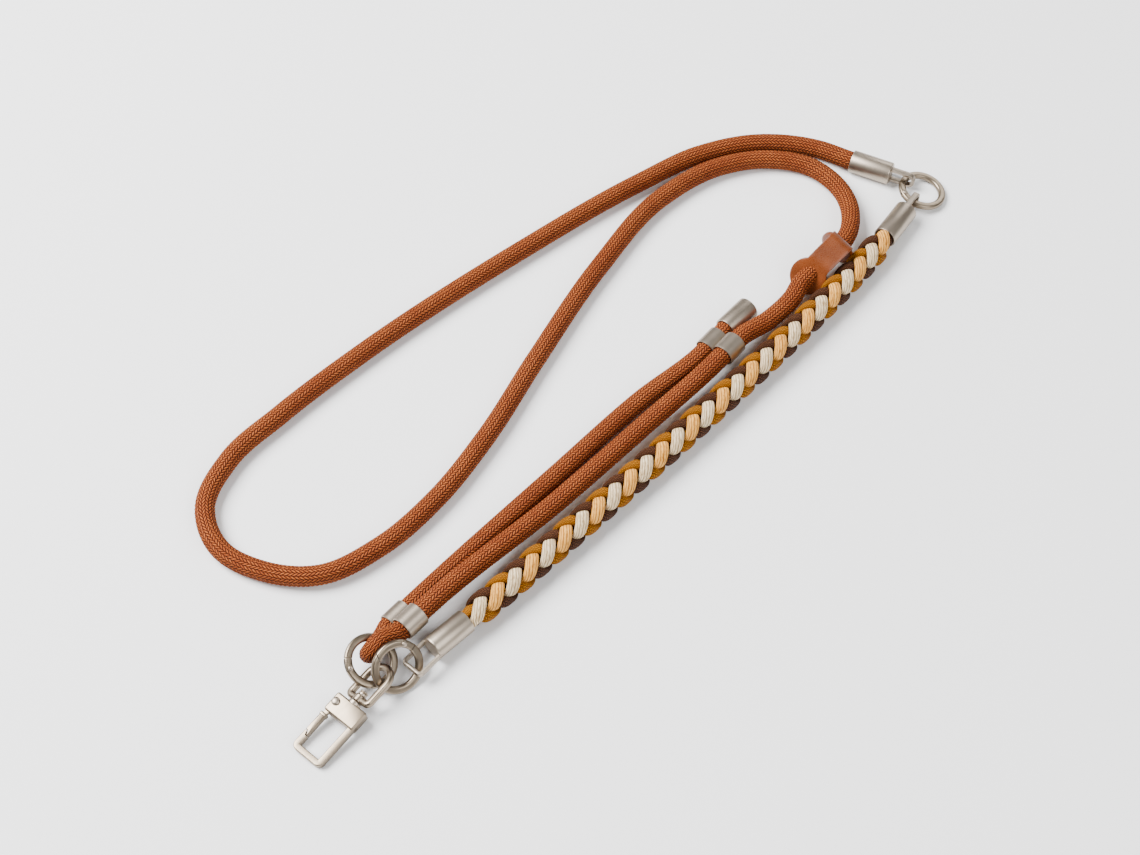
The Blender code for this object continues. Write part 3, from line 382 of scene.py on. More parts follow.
def nickel_finish(name, brush, dark, light, roughness):
    """Warm satin nickel; brush scales the fine lines for each axis of the piece."""
    graph = Graph(name, roughness, 1.0)
    lines = graph.noise(graph.scaled("Object", brush), 1.0, 3.0, 0.6)
    cloud = graph.noise(graph.coordinates("Object"), 160.0, 2.0)
    colour = graph.mix(graph.spread(cloud, 0.3, 0.7), dark, light)
    rough = graph.spread(lines, 0.25, 0.75, roughness - 0.04, roughness + 0.04)
    return graph.wear(colour, graph.bump(lines, 0.00001, 0.3), rough)


def woven_finish(name, dark, base, light, slant):
    """Braided yarn: UV counts columns across and cells along; neighbours slant opposite ways. The colour is
    painted shade, dark in the gaps between cells, and a painted highlight, light on each cell's crest, with
    random tone.
    """
    graph = Graph(name, 0.72)
    split = graph.node("SeparateXYZ", graph.coordinates("UV"))
    u, v = split.outputs[0], split.outputs[1]
    column = graph.math("FLOOR", u)
    across = graph.math("FRACT", u)
    odd = graph.math("FLOORED_MODULO", column, 2.0)
    lean = graph.times(graph.math("SUBTRACT", odd, 0.5), 2 * slant)
    shear = graph.times(lean, graph.math("SUBTRACT", across, 0.5))
    along = graph.add(graph.add(v, shear), graph.times(odd, 0.5))
    part = graph.math("FRACT", along)
    pillow = graph.times(graph.hump(across, 0.35), graph.hump(part, 0.7))
    luck = graph.luck(column, graph.math("FLOOR", along))
    fuzz = graph.noise(graph.coordinates("Object"), 2600.0, 3.0, 0.6)
    cloud = graph.noise(graph.coordinates("Object"), 60.0)
    # painted shade: the gaps between the woven cells are darker
    colour = graph.mix(graph.spread(pillow, 0.30, 0.85), dark, base)
    # painted highlight on each cell's crest, its strength varied by random tone
    glow = graph.add(graph.times(luck, 0.5), graph.add(fuzz, cloud))
    painted_crest_highlight = graph.times(graph.spread(pillow, 0.55, 1.0), graph.spread(glow, 0.8, 1.8, 0.1, 1.0))
    colour = graph.mix(painted_crest_highlight, colour, light)
    ply = graph.math("SINE", graph.times(part, 6 * math.pi))
    height = graph.add(graph.add(pillow, graph.times(ply, 0.04)), graph.times(fuzz, 0.15))
    graph.shine(0.12, YARN_SHEEN, light)
    return graph.wear(colour, graph.bump(height, 0.0004, 1.0), graph.spread(pillow, 0.0, 1.0, 0.9, 0.6))


def plied_finish(name, dark, base, light):
    """Parallel yarns: UV counts yarns across the strand and millimetres along it. Each yarn is painted darker
    at its sides as painted shade and lighter on its crest as a painted highlight; the hairs add random dark
    fibres.
    """
    graph = Graph(name, 0.7)
    split = graph.node("SeparateXYZ", graph.coordinates("UV"))
    u, v = split.outputs[0], split.outputs[1]
    across = graph.math("FRACT", u)
    lobe = graph.hump(across, 0.6)
    luck = graph.luck(graph.math("FLOOR", u), 0.0)
    stretched = graph.node("CombineXYZ", graph.times(u, 4.0), graph.times(v, 0.5), luck).outputs[0]
    hair = graph.noise(stretched, 1.0, 4.0, 0.65)
    twist = graph.add(graph.times(across, 1.6), graph.times(v, 1.1))
    ply = graph.math("SINE", graph.times(twist, 2 * math.pi))
    # painted shade: each yarn darkens towards its sides, where the grooves are
    shade = graph.spread(lobe, 0.25, 0.95)
    colour = graph.mix(shade, dark, base)
    colour = graph.mix(graph.spread(hair, 0.50, 0.36, 0.0, 0.75), colour, dark)
    # painted highlight on each yarn's crest, broken up by the hairs
    colour = graph.mix(graph.times(shade, graph.spread(hair, 0.42, 0.68)), colour, light)
    height = graph.add(graph.times(lobe, 0.4), graph.times(hair, 1.2))
    height = graph.add(height, graph.times(ply, 0.08))
    graph.shine(0.15, 0.05)
    return graph.wear(colour, graph.bump(height, 0.00025, 0.8))


def leather_finish(name, dark, base, light, grain, roughness):
    """Pebbled grain with lighter pores, in the piece's own coordinates."""
    graph = Graph(name, roughness)
    where = graph.coordinates("Object")
    pebble = graph.node("TexVoronoi", feature="SMOOTH_F1")
    graph.feed(pebble.inputs["Vector"], where)
    pebble.inputs["Scale"].default_value = grain
    pore = graph.noise(where, grain * 1.6, 4.0, 0.6)
    cloud = graph.noise(where, 140.0, 3.0)
    colour = graph.mix(graph.spread(cloud, 0.3, 0.7), dark, base)
    colour = graph.mix(graph.spread(pore, 0.45, 0.75, 0.0, 0.5), colour, light)
    height = graph.add(graph.times(pebble.outputs[0], -0.6), graph.times(pore, 0.5))
    rough = graph.spread(pore, 0.3, 0.7, roughness - 0.08, roughness + 0.1)
    graph.shine(0.4)
    return graph.wear(colour, graph.bump(height, 0.00012, 0.7), rough)


# One satin nickel in two copies: the turned copy is painted lighter and the flat copy painted darker, to even
# out how the light falls on round and flat faces; their brush lines also run differently.
NICKEL_TURNED_PAINTED_LIGHTER = nickel_finish(
    "satin_nickel_turned_painted_lighter", (2600, 60, 60), (0.36, 0.300, 0.238), (0.41, 0.345, 0.275), 0.40)
NICKEL_FLAT_PAINTED_DARKER = nickel_finish(
    "satin_nickel_flat_painted_darker", (80, 1800, 300), (0.225, 0.178, 0.128), (0.27, 0.217, 0.160), 0.34)
# Yarn colours: the first is the painted shade in the gaps and, for the plies, also the dark hairs; the middle
# is the yarn's own colour; the last is the painted highlight on the crests.
ROPE_YARN = woven_finish(
    "rope_yarn", (0.018, 0.002, 0.0004), (0.235, 0.045, 0.009), (0.50, 0.145, 0.034), ROPE_SLANT)
BROWN_CORD = woven_finish(
    "brown_cord", (0.012, 0.004, 0.001), (0.070, 0.022, 0.008), (0.15, 0.058, 0.024), CORD_SLANT)
OCHRE_CORD = woven_finish(
    "ochre_cord", (0.07, 0.018, 0.0003), (0.34, 0.110, 0.0006), (0.52, 0.21, 0.003), CORD_SLANT)
CREAM_PLIES = plied_finish(
    "cream_plies", (0.20, 0.11, 0.040), (0.77, 0.56, 0.31), (0.94, 0.79, 0.54))
PEACH_PLIES = plied_finish(
    "peach_plies", (0.24, 0.07, 0.003), (0.80, 0.34, 0.045), (0.94, 0.53, 0.13))
LEATHER_FACE = leather_finish(
    "leather_face", (0.11, 0.024, 0.004), (0.175, 0.040, 0.008), (0.26, 0.072, 0.018), 2600.0, 0.29)
LEATHER_BACK = leather_finish(
    "leather_back", (0.045, 0.020, 0.012), (0.075, 0.036, 0.021), (0.13, 0.07, 0.045), 4200.0, 0.9)
LEATHER_EDGE = leather_finish(
    "leather_edge", (0.07, 0.016, 0.006), (0.11, 0.026, 0.009), (0.17, 0.05, 0.02), 3600.0, 0.7)


# Placing

def place(point):
    """Position in the model of a point of the plan."""
    return Vector((point[0] - PLAN_CENTRE[0], point[1] - PLAN_CENTRE[1], point[2]))


def axis_frame(point, heading, pitch=0.0, roll=0.0):
    turn = Matrix.Rotation(heading, 4, "Z") @ Matrix.Rotation(-pitch, 4, "Y")
    return Matrix.Translation(place(point)) @ turn @ Matrix.Rotation(roll, 4, "X")


def ring_frame(centre, tilt, uphill):
    tilt = math.radians(tilt)
    uphill = math.radians(uphill)
    lean = math.sin(tilt)
    normal = Vector((-math.cos(uphill) * lean, -math.sin(uphill) * lean, math.cos(tilt)))
    across = (Vector((1, 0, 0)) - normal.x * normal).normalized()
    turn = Matrix((across, normal.cross(across), normal)).transposed().to_4x4()
    return Matrix.Translation(place(centre)) @ turn


ROPE_CAP_FRAME = axis_frame(ROPE_CAP_RIM, ROPE_CAP_HEADING)
BRAID_TOP_FRAME = axis_frame(BRAID_TOP_RIM, BRAID_TOP_HEADING, BRAID_TOP_PITCH)
BRAID_BOTTOM_FRAME = axis_frame(BRAID_BOTTOM_RIM, BRAID_BOTTOM_HEADING, BRAID_BOTTOM_PITCH)
FREE_CAP_FRAME = axis_frame(FREE_CAP_RIM, FREE_CAP_HEADING)
UPPER_FERRULE_FRAME = axis_frame(UPPER_FERRULE, UPPER_FERRULE_HEADING, 0, UPPER_FERRULE_ROLL)
LOWER_FERRULE_FRAME = axis_frame(LOWER_FERRULE, LOWER_FERRULE_HEADING, 0, LOWER_FERRULE_ROLL)
KEEPER_RISE = Vector(KEEPER_BACK) - Vector(KEEPER_FRONT)
KEEPER_SPAN = KEEPER_RISE.length
KEEPER_FRAME = axis_frame(KEEPER_FRONT, math.atan2(KEEPER_RISE.y, KEEPER_RISE.x),
                          math.asin(KEEPER_RISE.z / KEEPER_SPAN), KEEPER_ROLL)
HOOK_FRAME = axis_frame(HOOK_BASE, HOOK_HEADING, HOOK_PITCH)
BOW_FRAME = axis_frame(HOOK_BASE, HOOK_HEADING, HOOK_PITCH, BOW_ROLL)


# Meshes

class Shape:
    """Mesh in the making: points, faces, a UV for each corner and a material number for each face."""

    def __init__(self):
        self.points = []
        self.faces = []
        self.corners = []
        self.kinds = []

    def face(self, indices, corners):
        self.faces.append(indices)
        self.corners.extend(corners)
        self.kinds.append(0)

    def loft(self, loops, closed=False, columns=1.0, rows=None, leans=None, move=None):
        """Skin through equal loops; UV runs from 0 to columns round a loop and by rows along, plus leans."""
        base = len(self.points)
        size = len(loops[0])
        count = len(loops)
        rows = rows or list(range(count + 1))
        leans = leans or [0.0] * size
        for loop in loops:
            self.points.extend(tuple(move @ Vector(p)) if move else tuple(p) for p in loop)
        for i in range(count if closed else count - 1):
            here = base + i * size
            after = base + (i + 1) % count * size
            for j in range(size):
                k = (j + 1) % size
                u = columns * j / size
                w = columns * (j + 1) / size
                corners = ((u, rows[i] + leans[j]), (w, rows[i] + leans[k]),
                           (w, rows[i + 1] + leans[k]), (u, rows[i + 1] + leans[j]))
                self.face((here + j, here + k, after + k, after + j), corners)
        if not closed:
            for start in (base, base + (count - 1) * size):
                self.face(tuple(range(start, start + size)), ((0.0, 0.0),) * size)
        return self

    def turned(self, profile, sides, move=None):
        """Profile of (x, radius) turned round X; a radius of 0 makes a tiny closing face."""
        loops = []
        for x, radius in profile:
            radius = max(radius, 1e-6)
            angles = [2 * math.pi * i / sides for i in range(sides)]
            loops.append([(x, radius * math.cos(a), radius * math.sin(a)) for a in angles])
        return self.loft(loops, move=move)

    def plate(self, outline, half, edge, move=None):
        """Outline in XY, twice half thick, with its edges rounded over a small width."""
        loops = []
        for side in (-1, 1):
            rounds = []
            for step in range(4):
                turn = math.pi / 2 * step / 3
                inset = edge * (1 - math.sin(turn))
                height = half - edge * (1 - math.cos(turn))
                rounds.append([(x, y, side * height) for x, y in shrink(outline, inset)])
            loops += rounds if side < 0 else rounds[::-1]
        return self.loft(loops, move=move)


def shrink(outline, distance):
    """Outline moved inwards by a distance."""
    size = len(outline)
    area = sum(outline[i - 1][0] * outline[i][1] - outline[i][0] * outline[i - 1][1] for i in range(size))
    side = 1 if area > 0 else -1
    moved = []
    for i, (x, y) in enumerate(outline):
        before = Vector((x - outline[i - 1][0], y - outline[i - 1][1])).normalized()
        after = Vector((outline[(i + 1) % size][0] - x, outline[(i + 1) % size][1] - y)).normalized()
        inward = (Vector((-before.y, before.x)) + Vector((-after.y, after.x))) * side
        reach = distance / max(0.4, inward.length / 2)
        inward = inward.normalized() * reach
        moved.append((x + inward.x, y + inward.y))
    return moved


def arc(centre, radius, start, end, steps):
    angles = [start + (end - start) * i / steps for i in range(steps + 1)]
    return [(centre[0] + radius * math.cos(a), centre[1] + radius * math.sin(a)) for a in angles]


def rounded_section(width, height, corner, steps=4):
    """Closed rounded rectangle of (side, height) points."""
    w = width / 2 - corner
    h = height / 2 - corner
    points = []
    for k, (x, y) in enumerate(((w, h), (-w, h), (-w, -h), (w, -h))):
        points += arc((x, y), corner, k * math.pi / 2, (k + 1) * math.pi / 2, steps)
    return points


def sweep_flat(path, section, closed=False):
    """Loops of a section of (side, height) points carried along a path in XY."""
    loops = []
    for i, (x, y) in enumerate(path):
        ahead = path[(i + 1) % len(path)] if closed or i + 1 < len(path) else path[i]
        behind = path[i - 1] if closed or i > 0 else path[i]
        heading = Vector((ahead[0] - behind[0], ahead[1] - behind[1])).normalized()
        side = Vector((-heading.y, heading.x))
        loops.append([(x + side.x * s, y + side.y * s, h) for s, h in section])
    return loops


def rod(start, end, radius, sides):
    """Plain cylinder along X that only cuts."""
    angles = [2 * math.pi * (i + 0.5) / sides for i in range(sides)]
    loop = [(radius * math.cos(angle), radius * math.sin(angle)) for angle in angles]
    return Shape().loft([[(along, y, z) for y, z in loop] for along in (start, end)])


def flat_prism(outline, half):
    """Outline in XY, twice half thick, with square edges."""
    return Shape().loft([[(x, y, z) for x, y in outline] for z in (-half, half)])


def build_mesh(name, shape):
    mesh = bpy.data.meshes.new(name)
    mesh.from_pydata(shape.points, [], shape.faces)
    layer = mesh.uv_layers.new(name="UVMap")
    layer.data.foreach_set("uv", [value for corner in shape.corners for value in corner])
    mesh.polygons.foreach_set("material_index", shape.kinds)
    work = bmesh.new()
    work.from_mesh(mesh)
    bmesh.ops.recalc_face_normals(work, faces=work.faces)
    work.to_mesh(mesh)
    work.free()
    return mesh


def piece(name, shape, materials, nodes, body="strap", at=None, cuts=(), sharp=METAL_SHARP):
    """One visible piece, cut by its tools, in place of the nodes that it stands for."""
    item = bpy.data.objects.new(name, build_mesh(name, shape))
    bpy.context.collection.objects.link(item)
    for i, cut in enumerate(cuts):
        tool = bpy.data.objects.new(f"{name}_cut_{i}", build_mesh(f"{name}_cut_{i}", cut))
        bpy.context.collection.objects.link(tool)
        step = item.modifiers.new(tool.name, "BOOLEAN")
        step.operation = "DIFFERENCE"
        step.solver = "EXACT"
        step.object = tool
    if cuts:
        graph = bpy.context.evaluated_depsgraph_get()
        made = bpy.data.meshes.new_from_object(item.evaluated_get(graph), depsgraph=graph)
        for step in list(item.modifiers):
            bpy.data.objects.remove(step.object, do_unlink=True)
        item.modifiers.clear()
        item.data = made
    item.data.materials.clear()
    for material in materials:
        item.data.materials.append(material)
    item.data.shade_smooth()
    item.data.set_sharp_from_angle(angle=math.radians(sharp))
    if at is not None:
        item.matrix_world = at
    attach(item, body)
    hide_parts(*nodes)
    return item


def metal(name, shape, nodes, at=None, body="strap", cuts=(), turned=True):
    # flat pieces take the nickel copy painted darker, turned pieces the copy painted lighter
    finish = NICKEL_TURNED_PAINTED_LIGHTER if turned else NICKEL_FLAT_PAINTED_DARKER
    return piece(name, shape, [finish], nodes, body, at, cuts)


# Rope

def rope_stops():
    """The rope's route as (point, heading or None, share of the radius)."""
    stops = []

    def free(points, share=1.0):
        stops.extend((place(point), None, share) for point in points)

    def guide(at, first, last, side=0.0):
        heading = at.col[0].to_3d() * (1 if last > first else -1)
        stops.extend((at @ Vector((x, side, 0)), heading, 1.0) for x in (first, last))

    before = -ROPE_GUIDE
    beyond = FERRULE_LENGTH + ROPE_GUIDE
    guide(ROPE_CAP_FRAME, ROPE_CAP_LENGTH - CAP_END_WALL - FIT_GAP, before)
    free(ROPE_OUTER_RUN)
    guide(KEEPER_FRAME, KEEPER_SPAN + KEEPER_THICKNESS, -2 * KEEPER_THICKNESS)
    free(ROPE_BELOW_KEEPER)
    guide(UPPER_FERRULE_FRAME, beyond, before, -FERRULE_SPACING)
    free(ROPE_RIGHT_STRAND)
    guide(LOWER_FERRULE_FRAME, beyond, before, -FERRULE_SPACING)
    free(ROPE_BIGHT, ROPE_BIGHT_SHARE)
    guide(LOWER_FERRULE_FRAME, before, beyond)
    free(reversed(ROPE_LEFT_STRAND))
    guide(UPPER_FERRULE_FRAME, before, beyond)
    guide(FREE_CAP_FRAME, before, FREE_CAP_LENGTH - CAP_END_WALL - FIT_GAP)
    return stops


def rope_line():
    """Fine points of the smooth route, each with its share of the radius."""
    stops = rope_stops()
    headings = []
    for i, (point, heading, share) in enumerate(stops):
        if heading is None:
            back = point - stops[i - 1][0]
            ahead = stops[i + 1][0] - point
            heading = back.normalized() * ahead.length + ahead.normalized() * back.length
        headings.append(heading.normalized())
    line = []
    for i in range(len(stops) - 1):
        start, _, first_share = stops[i]
        end, _, last_share = stops[i + 1]
        chord = (end - start).length
        steps = max(8, math.ceil(chord / 0.0003))
        for step in range(steps):
            t = step / steps
            a = 2 * t ** 3 - 3 * t ** 2 + 1
            bend = (headings[i] * (t ** 3 - 2 * t ** 2 + t) + headings[i + 1] * (t ** 3 - t ** 2)) * chord
            line.append((start * a + end * (1 - a) + bend, first_share * (1 - t) + last_share * t))
    line.append((stops[-1][0], stops[-1][2]))
    return line


def even_stations(line, spacing):
    """Points of a line at an even spacing, with the line's own extra value."""
    stations = [line[0]]
    travel = 0.0
    wanted = spacing
    for (start, first), (end, last) in zip(line, line[1:]):
        length = (end - start).length
        while length > 0 and travel + length >= wanted:
            t = (wanted - travel) / length
            stations.append((start.lerp(end, t), first * (1 - t) + last * t))
            wanted += spacing
        travel += length
    return stations


def rope_shape(stations):
    """Tube whose rings zigzag from column to column, raised in the middle of each woven cell."""
    sides = 2 * ROPE_COLUMNS
    leans = [(0.5 * ROPE_SLANT, 0.0, -0.5 * ROPE_SLANT, 0.0)[j % 4] for j in range(sides)]
    loops = []
    rows = []
    side = None
    for i, (point, share) in enumerate(stations):
        ahead = stations[min(i + 1, len(stations) - 1)][0]
        behind = stations[max(i - 1, 0)][0]
        heading = (ahead - behind).normalized()
        side = side or Vector((0, 0, 1)).cross(heading)
        side = (side - heading * side.dot(heading)).normalized()
        up = heading.cross(side)
        zigzags = 2 < i < len(stations) - 3
        loop = []
        for j in range(sides):
            angle = 2 * math.pi * j / sides
            crest = (i + (j % 4 == 3)) % 2
            dips = ROPE_MIDDLE_DIPS if j % 2 else ROPE_EDGE_DIPS
            reach = (ROPE_RADIUS - dips[crest]) * share
            slide = leans[j] * ROPE_CELL if zigzags else 0.0
            outward = side * (reach * math.cos(angle)) + up * (reach * math.sin(angle))
            loop.append(point + heading * slide + outward)
        loops.append(loop)
        rows.append(0.5 * i)
    return Shape().loft(loops, columns=ROPE_COLUMNS, rows=rows, leans=leans)


def make_rope(free_cap):
    stations = even_stations(rope_line(), ROPE_CELL / 2)
    item = piece("woven_rope", rope_shape(stations), [ROPE_YARN], ["rope"], sharp=YARN_SHARP)


# Braid

BRAID_START = place(BRAID_BOTTOM_RIM)
BRAID_END = place(BRAID_TOP_RIM)
BRAID_LENGTH = (BRAID_END - BRAID_START).length


def smooth_step(share):
    share = min(max(share, 0.0), 1.0)
    return share * share * (3 - 2 * share)


def even_share(share):
    """Parameter of the braid's curve at an even share of its length."""
    slack = 1 - BRAID_BOW_SHARE
    t = share
    for _ in range(5):
        reached = BRAID_BOW_SHARE * t + slack * t ** 2 * (3 - 2 * t)
        t -= (reached - share) / (BRAID_BOW_SHARE + 6 * slack * t * (1 - t))
    return t


def braid_axis(travel):
    """Point and direction of the braid's axis at a length from the bottom cap's rim."""
    leave = -BRAID_BOTTOM_FRAME.col[0].to_3d()
    arrive = -BRAID_TOP_FRAME.col[0].to_3d()
    if travel <= 0:
        return BRAID_START + leave * travel, leave
    if travel >= BRAID_LENGTH:
        return BRAID_END - arrive * (travel - BRAID_LENGTH), -arrive
    pull = BRAID_BOW_SHARE * BRAID_LENGTH

    def middle(share):
        a = 2 * share ** 3 - 3 * share ** 2 + 1
        b = share ** 3 - 2 * share ** 2 + share
        c = share ** 3 - share ** 2
        point = BRAID_START * a + leave * pull * b + BRAID_END * (1 - a) - arrive * pull * c
        near = min(share, 1 - share) * BRAID_LENGTH
        point.z = BRAID_BOTTOM_RIM[2] + (BRAID_HEIGHT - BRAID_BOTTOM_RIM[2]) * smooth_step(near / BRAID_RISE)
        return point

    share = even_share(travel / BRAID_LENGTH)
    step = 0.002
    heading = middle(min(share + step, 1)) - middle(max(share - step, 0))
    return middle(share), heading.normalized()


def braid_point(travel, angle, radius):
    """Point beside the braid's axis and its outward direction."""
    point, heading = braid_axis(travel)
    left = Vector((0, 0, 1)).cross(heading).normalized()
    up = heading.cross(left)
    outward = up * math.cos(angle + BRAID_ROLL) + left * math.sin(angle + BRAID_ROLL)
    return point + outward * radius, outward


def strand_stations(way, phase):
    """Rows of a strand: travel, angle, radius, width and height."""
    pattern = BRAID_LENGTH - 2 * BRAID_LEAD
    count = round(BRAID_TURNS * STRAND_STEPS)
    leads = [(BRAID_INSERT + BRAID_LEAD) * i / STRAND_LEAD_STEPS for i in range(STRAND_LEAD_STEPS + 1)]
    travels = [lead - BRAID_INSERT for lead in leads[:-1]]
    travels += [BRAID_LEAD + pattern * i / count for i in range(count + 1)]
    travels += [BRAID_LENGTH - BRAID_LEAD + lead for lead in leads[1:]]
    rows = []
    for travel in travels:
        share = min(max((travel - BRAID_LEAD) / pattern, 0), 1)
        angle = phase + way * 2 * math.pi * BRAID_TURNS * share
        swing = math.cos(2 * angle) * way
        swing = math.copysign(abs(swing) ** STRAND_SHARPNESS, swing)
        near = min(travel, BRAID_LENGTH - travel)
        free = smooth_step((near + FIT_GAP + BRAID_LEAD / 2) / (2 * BRAID_LEAD))
        sizes = (STRAND_RADIUS + STRAND_SWING * swing, STRAND_WIDTH + STRAND_WIDTH_SWING * swing,
                 STRAND_HEIGHT + STRAND_HEIGHT_SWING * swing)
        travel += STRAND_STRETCH * math.sin(2 * angle) * free if 0 < share < 1 else 0.0
        rows.append((travel, angle, *(m + (s - m) * free for m, s in zip(STRAND_MOUTH, sizes))))
    return rows


def make_strand(name, node, way, phase, finish, slot, columns, cell, groove):
    """Strand with a rib for each UV column; way is its turning sense and phase its first angle."""
    rows = strand_stations(way, math.radians(phase))
    centres = [braid_point(travel, angle, radius) for travel, angle, radius, width, height in rows]
    loops = []
    marks = []
    length = 0.0
    for i, (travel, angle, radius, width, height) in enumerate(rows):
        point, outward = centres[i]
        ahead = centres[min(i + 1, len(rows) - 1)][0]
        behind = centres[max(i - 1, 0)][0]
        heading = (ahead - behind).normalized()
        normal = (outward - heading * outward.dot(heading)).normalized()
        across = heading.cross(normal)
        length += (point - centres[i - 1][0]).length if i else 0.0
        marks.append(length / cell)
        loop = []
        for k in range(STRAND_SIDES):
            turn = 2 * math.pi * k / STRAND_SIDES
            swell = 1 - groove * (1 - abs(math.sin(columns * turn / 2)) ** 0.6)
            side = math.copysign(abs(math.cos(turn)) ** 0.9, math.cos(turn)) * width / 2 * swell
            lift = math.copysign(abs(math.sin(turn)) ** 0.9, math.sin(turn)) * height / 2 * swell
            loop.append(point + across * side + normal * lift)
        loops.append(loop)
    shape = Shape().loft(loops, columns=columns, rows=marks)
    piece(name, shape, [finish], [node], sharp=YARN_SHARP)


def make_braid():
    make_strand("cream_strand", "strand_cream", 1, -45, CREAM_PLIES, "cream_yarn", **PLIES)
    make_strand("peach_strand", "strand_peach", 1, 135, PEACH_PLIES, "peach_yarn", **PLIES)
    make_strand("ochre_strand", "strand_ochre", -1, 45, OCHRE_CORD, "ochre_yarn", **CORDS)
    make_strand("brown_strand", "strand_brown", -1, -135, BROWN_CORD, "dark_brown_yarn", **CORDS)


# Caps and loops

def cap_shape(length):
    """Cup with its rim at x = 0, open towards -X."""
    depth = length - CAP_END_WALL
    rim = RIM_EDGE
    profile = [(depth, 0), (depth, CAP_BORE), (0, CAP_BORE), (0, CAP_RADIUS - rim)]
    for turn in (0.5, 1.0, math.pi / 2):
        profile.append((rim * (1 - math.cos(turn)), CAP_RADIUS - rim + rim * math.sin(turn)))
    profile += arc((length - CAP_EDGE, CAP_RADIUS - CAP_EDGE), CAP_EDGE, math.pi / 2, 0, 5)
    return Shape().turned(profile + [(length, 0)], 64)


def loop_loops(inside, reach, corner):
    """Strip bent to a U in XY, LOOP_STRIP_WIDTH wide along Z."""
    half = (inside + LOOP_STRIP_THICKNESS) / 2
    far = reach + LOOP_ROOT - LOOP_STRIP_THICKNESS / 2 - corner
    path = [(0, half)] + arc((far, half - corner), corner, math.pi / 2, 0, 12)
    path += arc((far, corner - half), corner, 0, -math.pi / 2, 12) + [(0, -half)]
    return sweep_flat(path, rounded_section(LOOP_STRIP_THICKNESS, LOOP_STRIP_WIDTH, LOOP_EDGE))


def make_capped_end(name, node, at, length, reach):
    shape = cap_shape(length)
    upright = Matrix.Translation((length - LOOP_ROOT, 0, 0)) @ Matrix.Rotation(math.pi / 2, 4, "X")
    shape.loft(loop_loops(UPRIGHT_LOOP_INSIDE, reach, UPRIGHT_LOOP_CORNER), move=upright)
    metal(name, shape, [node], at)


def make_caps():
    """All four caps; the free end's is returned, because it goes with the rope."""
    make_capped_end("rope_cap_metal", "rope_cap", ROPE_CAP_FRAME, ROPE_CAP_LENGTH, ROPE_CAP_LOOP_REACH)
    make_capped_end("braid_top_metal", "braid_top_cap", BRAID_TOP_FRAME, BRAID_TOP_CAP_LENGTH,
                    BRAID_TOP_LOOP_REACH)
    shape = cap_shape(BRAID_BOTTOM_CAP_LENGTH)
    level = Matrix.Rotation(BRAID_BOTTOM_PITCH, 4, "Y")
    swing = Matrix.Rotation(SQUARE_LOOP_HEADING - BRAID_BOTTOM_HEADING, 4, "Z")
    seat = Matrix.Translation((BRAID_BOTTOM_CAP_LENGTH - LOOP_ROOT, 0, 0)) @ level @ swing
    shape.loft(loop_loops(SQUARE_LOOP_INSIDE, SQUARE_LOOP_REACH, SQUARE_LOOP_CORNER), move=seat)
    metal("braid_bottom_metal", shape, ["braid_bottom_cap"], BRAID_BOTTOM_FRAME)
    return metal("free_end_metal", cap_shape(FREE_CAP_LENGTH), ["free_end_cap"], FREE_CAP_FRAME)


def make_ferrule(name, node, at):
    """Two thin barrels side by side."""
    edge = RIM_EDGE
    near = [(edge, FERRULE_BORE), (0, FERRULE_BORE + edge), (0, FERRULE_OUTER - edge), (edge, FERRULE_OUTER)]
    profile = near + [(FERRULE_LENGTH - x, radius) for x, radius in reversed(near)]
    shape = Shape()
    for barrel in (0, 1):
        centre = (-FERRULE_SPACING * barrel, 0)
        loops = []
        for x, radius in profile:
            loops.append([(x, y, z) for y, z in arc(centre, radius, 0, 2 * math.pi, 56)[:-1]])
        shape.loft(loops, closed=True)
    metal(name, shape, [node], at)


# Rings

def swing_angle(radius, reach):
    cosine = (radius ** 2 + RING_RADIUS ** 2 - reach ** 2) / (2 * radius * RING_RADIUS)
    return math.acos(cosine)


def ring_bar(first, last, steps):
    """Loops of the ring's bar between two cuts; each cut gives its angle at a radius."""
    loops = []
    for step in range(steps + 1):
        share = step / steps
        loop = []
        for out, up in rounded_section(RING_RADIAL, RING_AXIAL, RING_EDGE, 5):
            radius = RING_RADIUS + out
            angle = first(radius) * (1 - share) + last(radius) * share
            loop.append((radius * math.cos(angle), radius * math.sin(angle), up))
        loops.append(loop)
    return loops


def ring_point(radius, angle):
    return (radius * math.cos(angle), radius * math.sin(angle))


def rivet_shape(half, head, dome, dimple=0.0):
    """Rivet along X: a shank between two domed heads, each with a dimple in its middle."""
    start = half + 0.5 * FIT_GAP
    side = [(start, head)]
    for step in range(1, 7):
        turn = math.pi / 2 * step / 6
        dip = dimple if step > 4 else 0.0
        side.append((start + (dome + 0.5 * FIT_GAP) * math.sin(turn) - dip, head * math.cos(turn)))
    return Shape().turned([(-x, r) for x, r in reversed(side)] + side, 32)


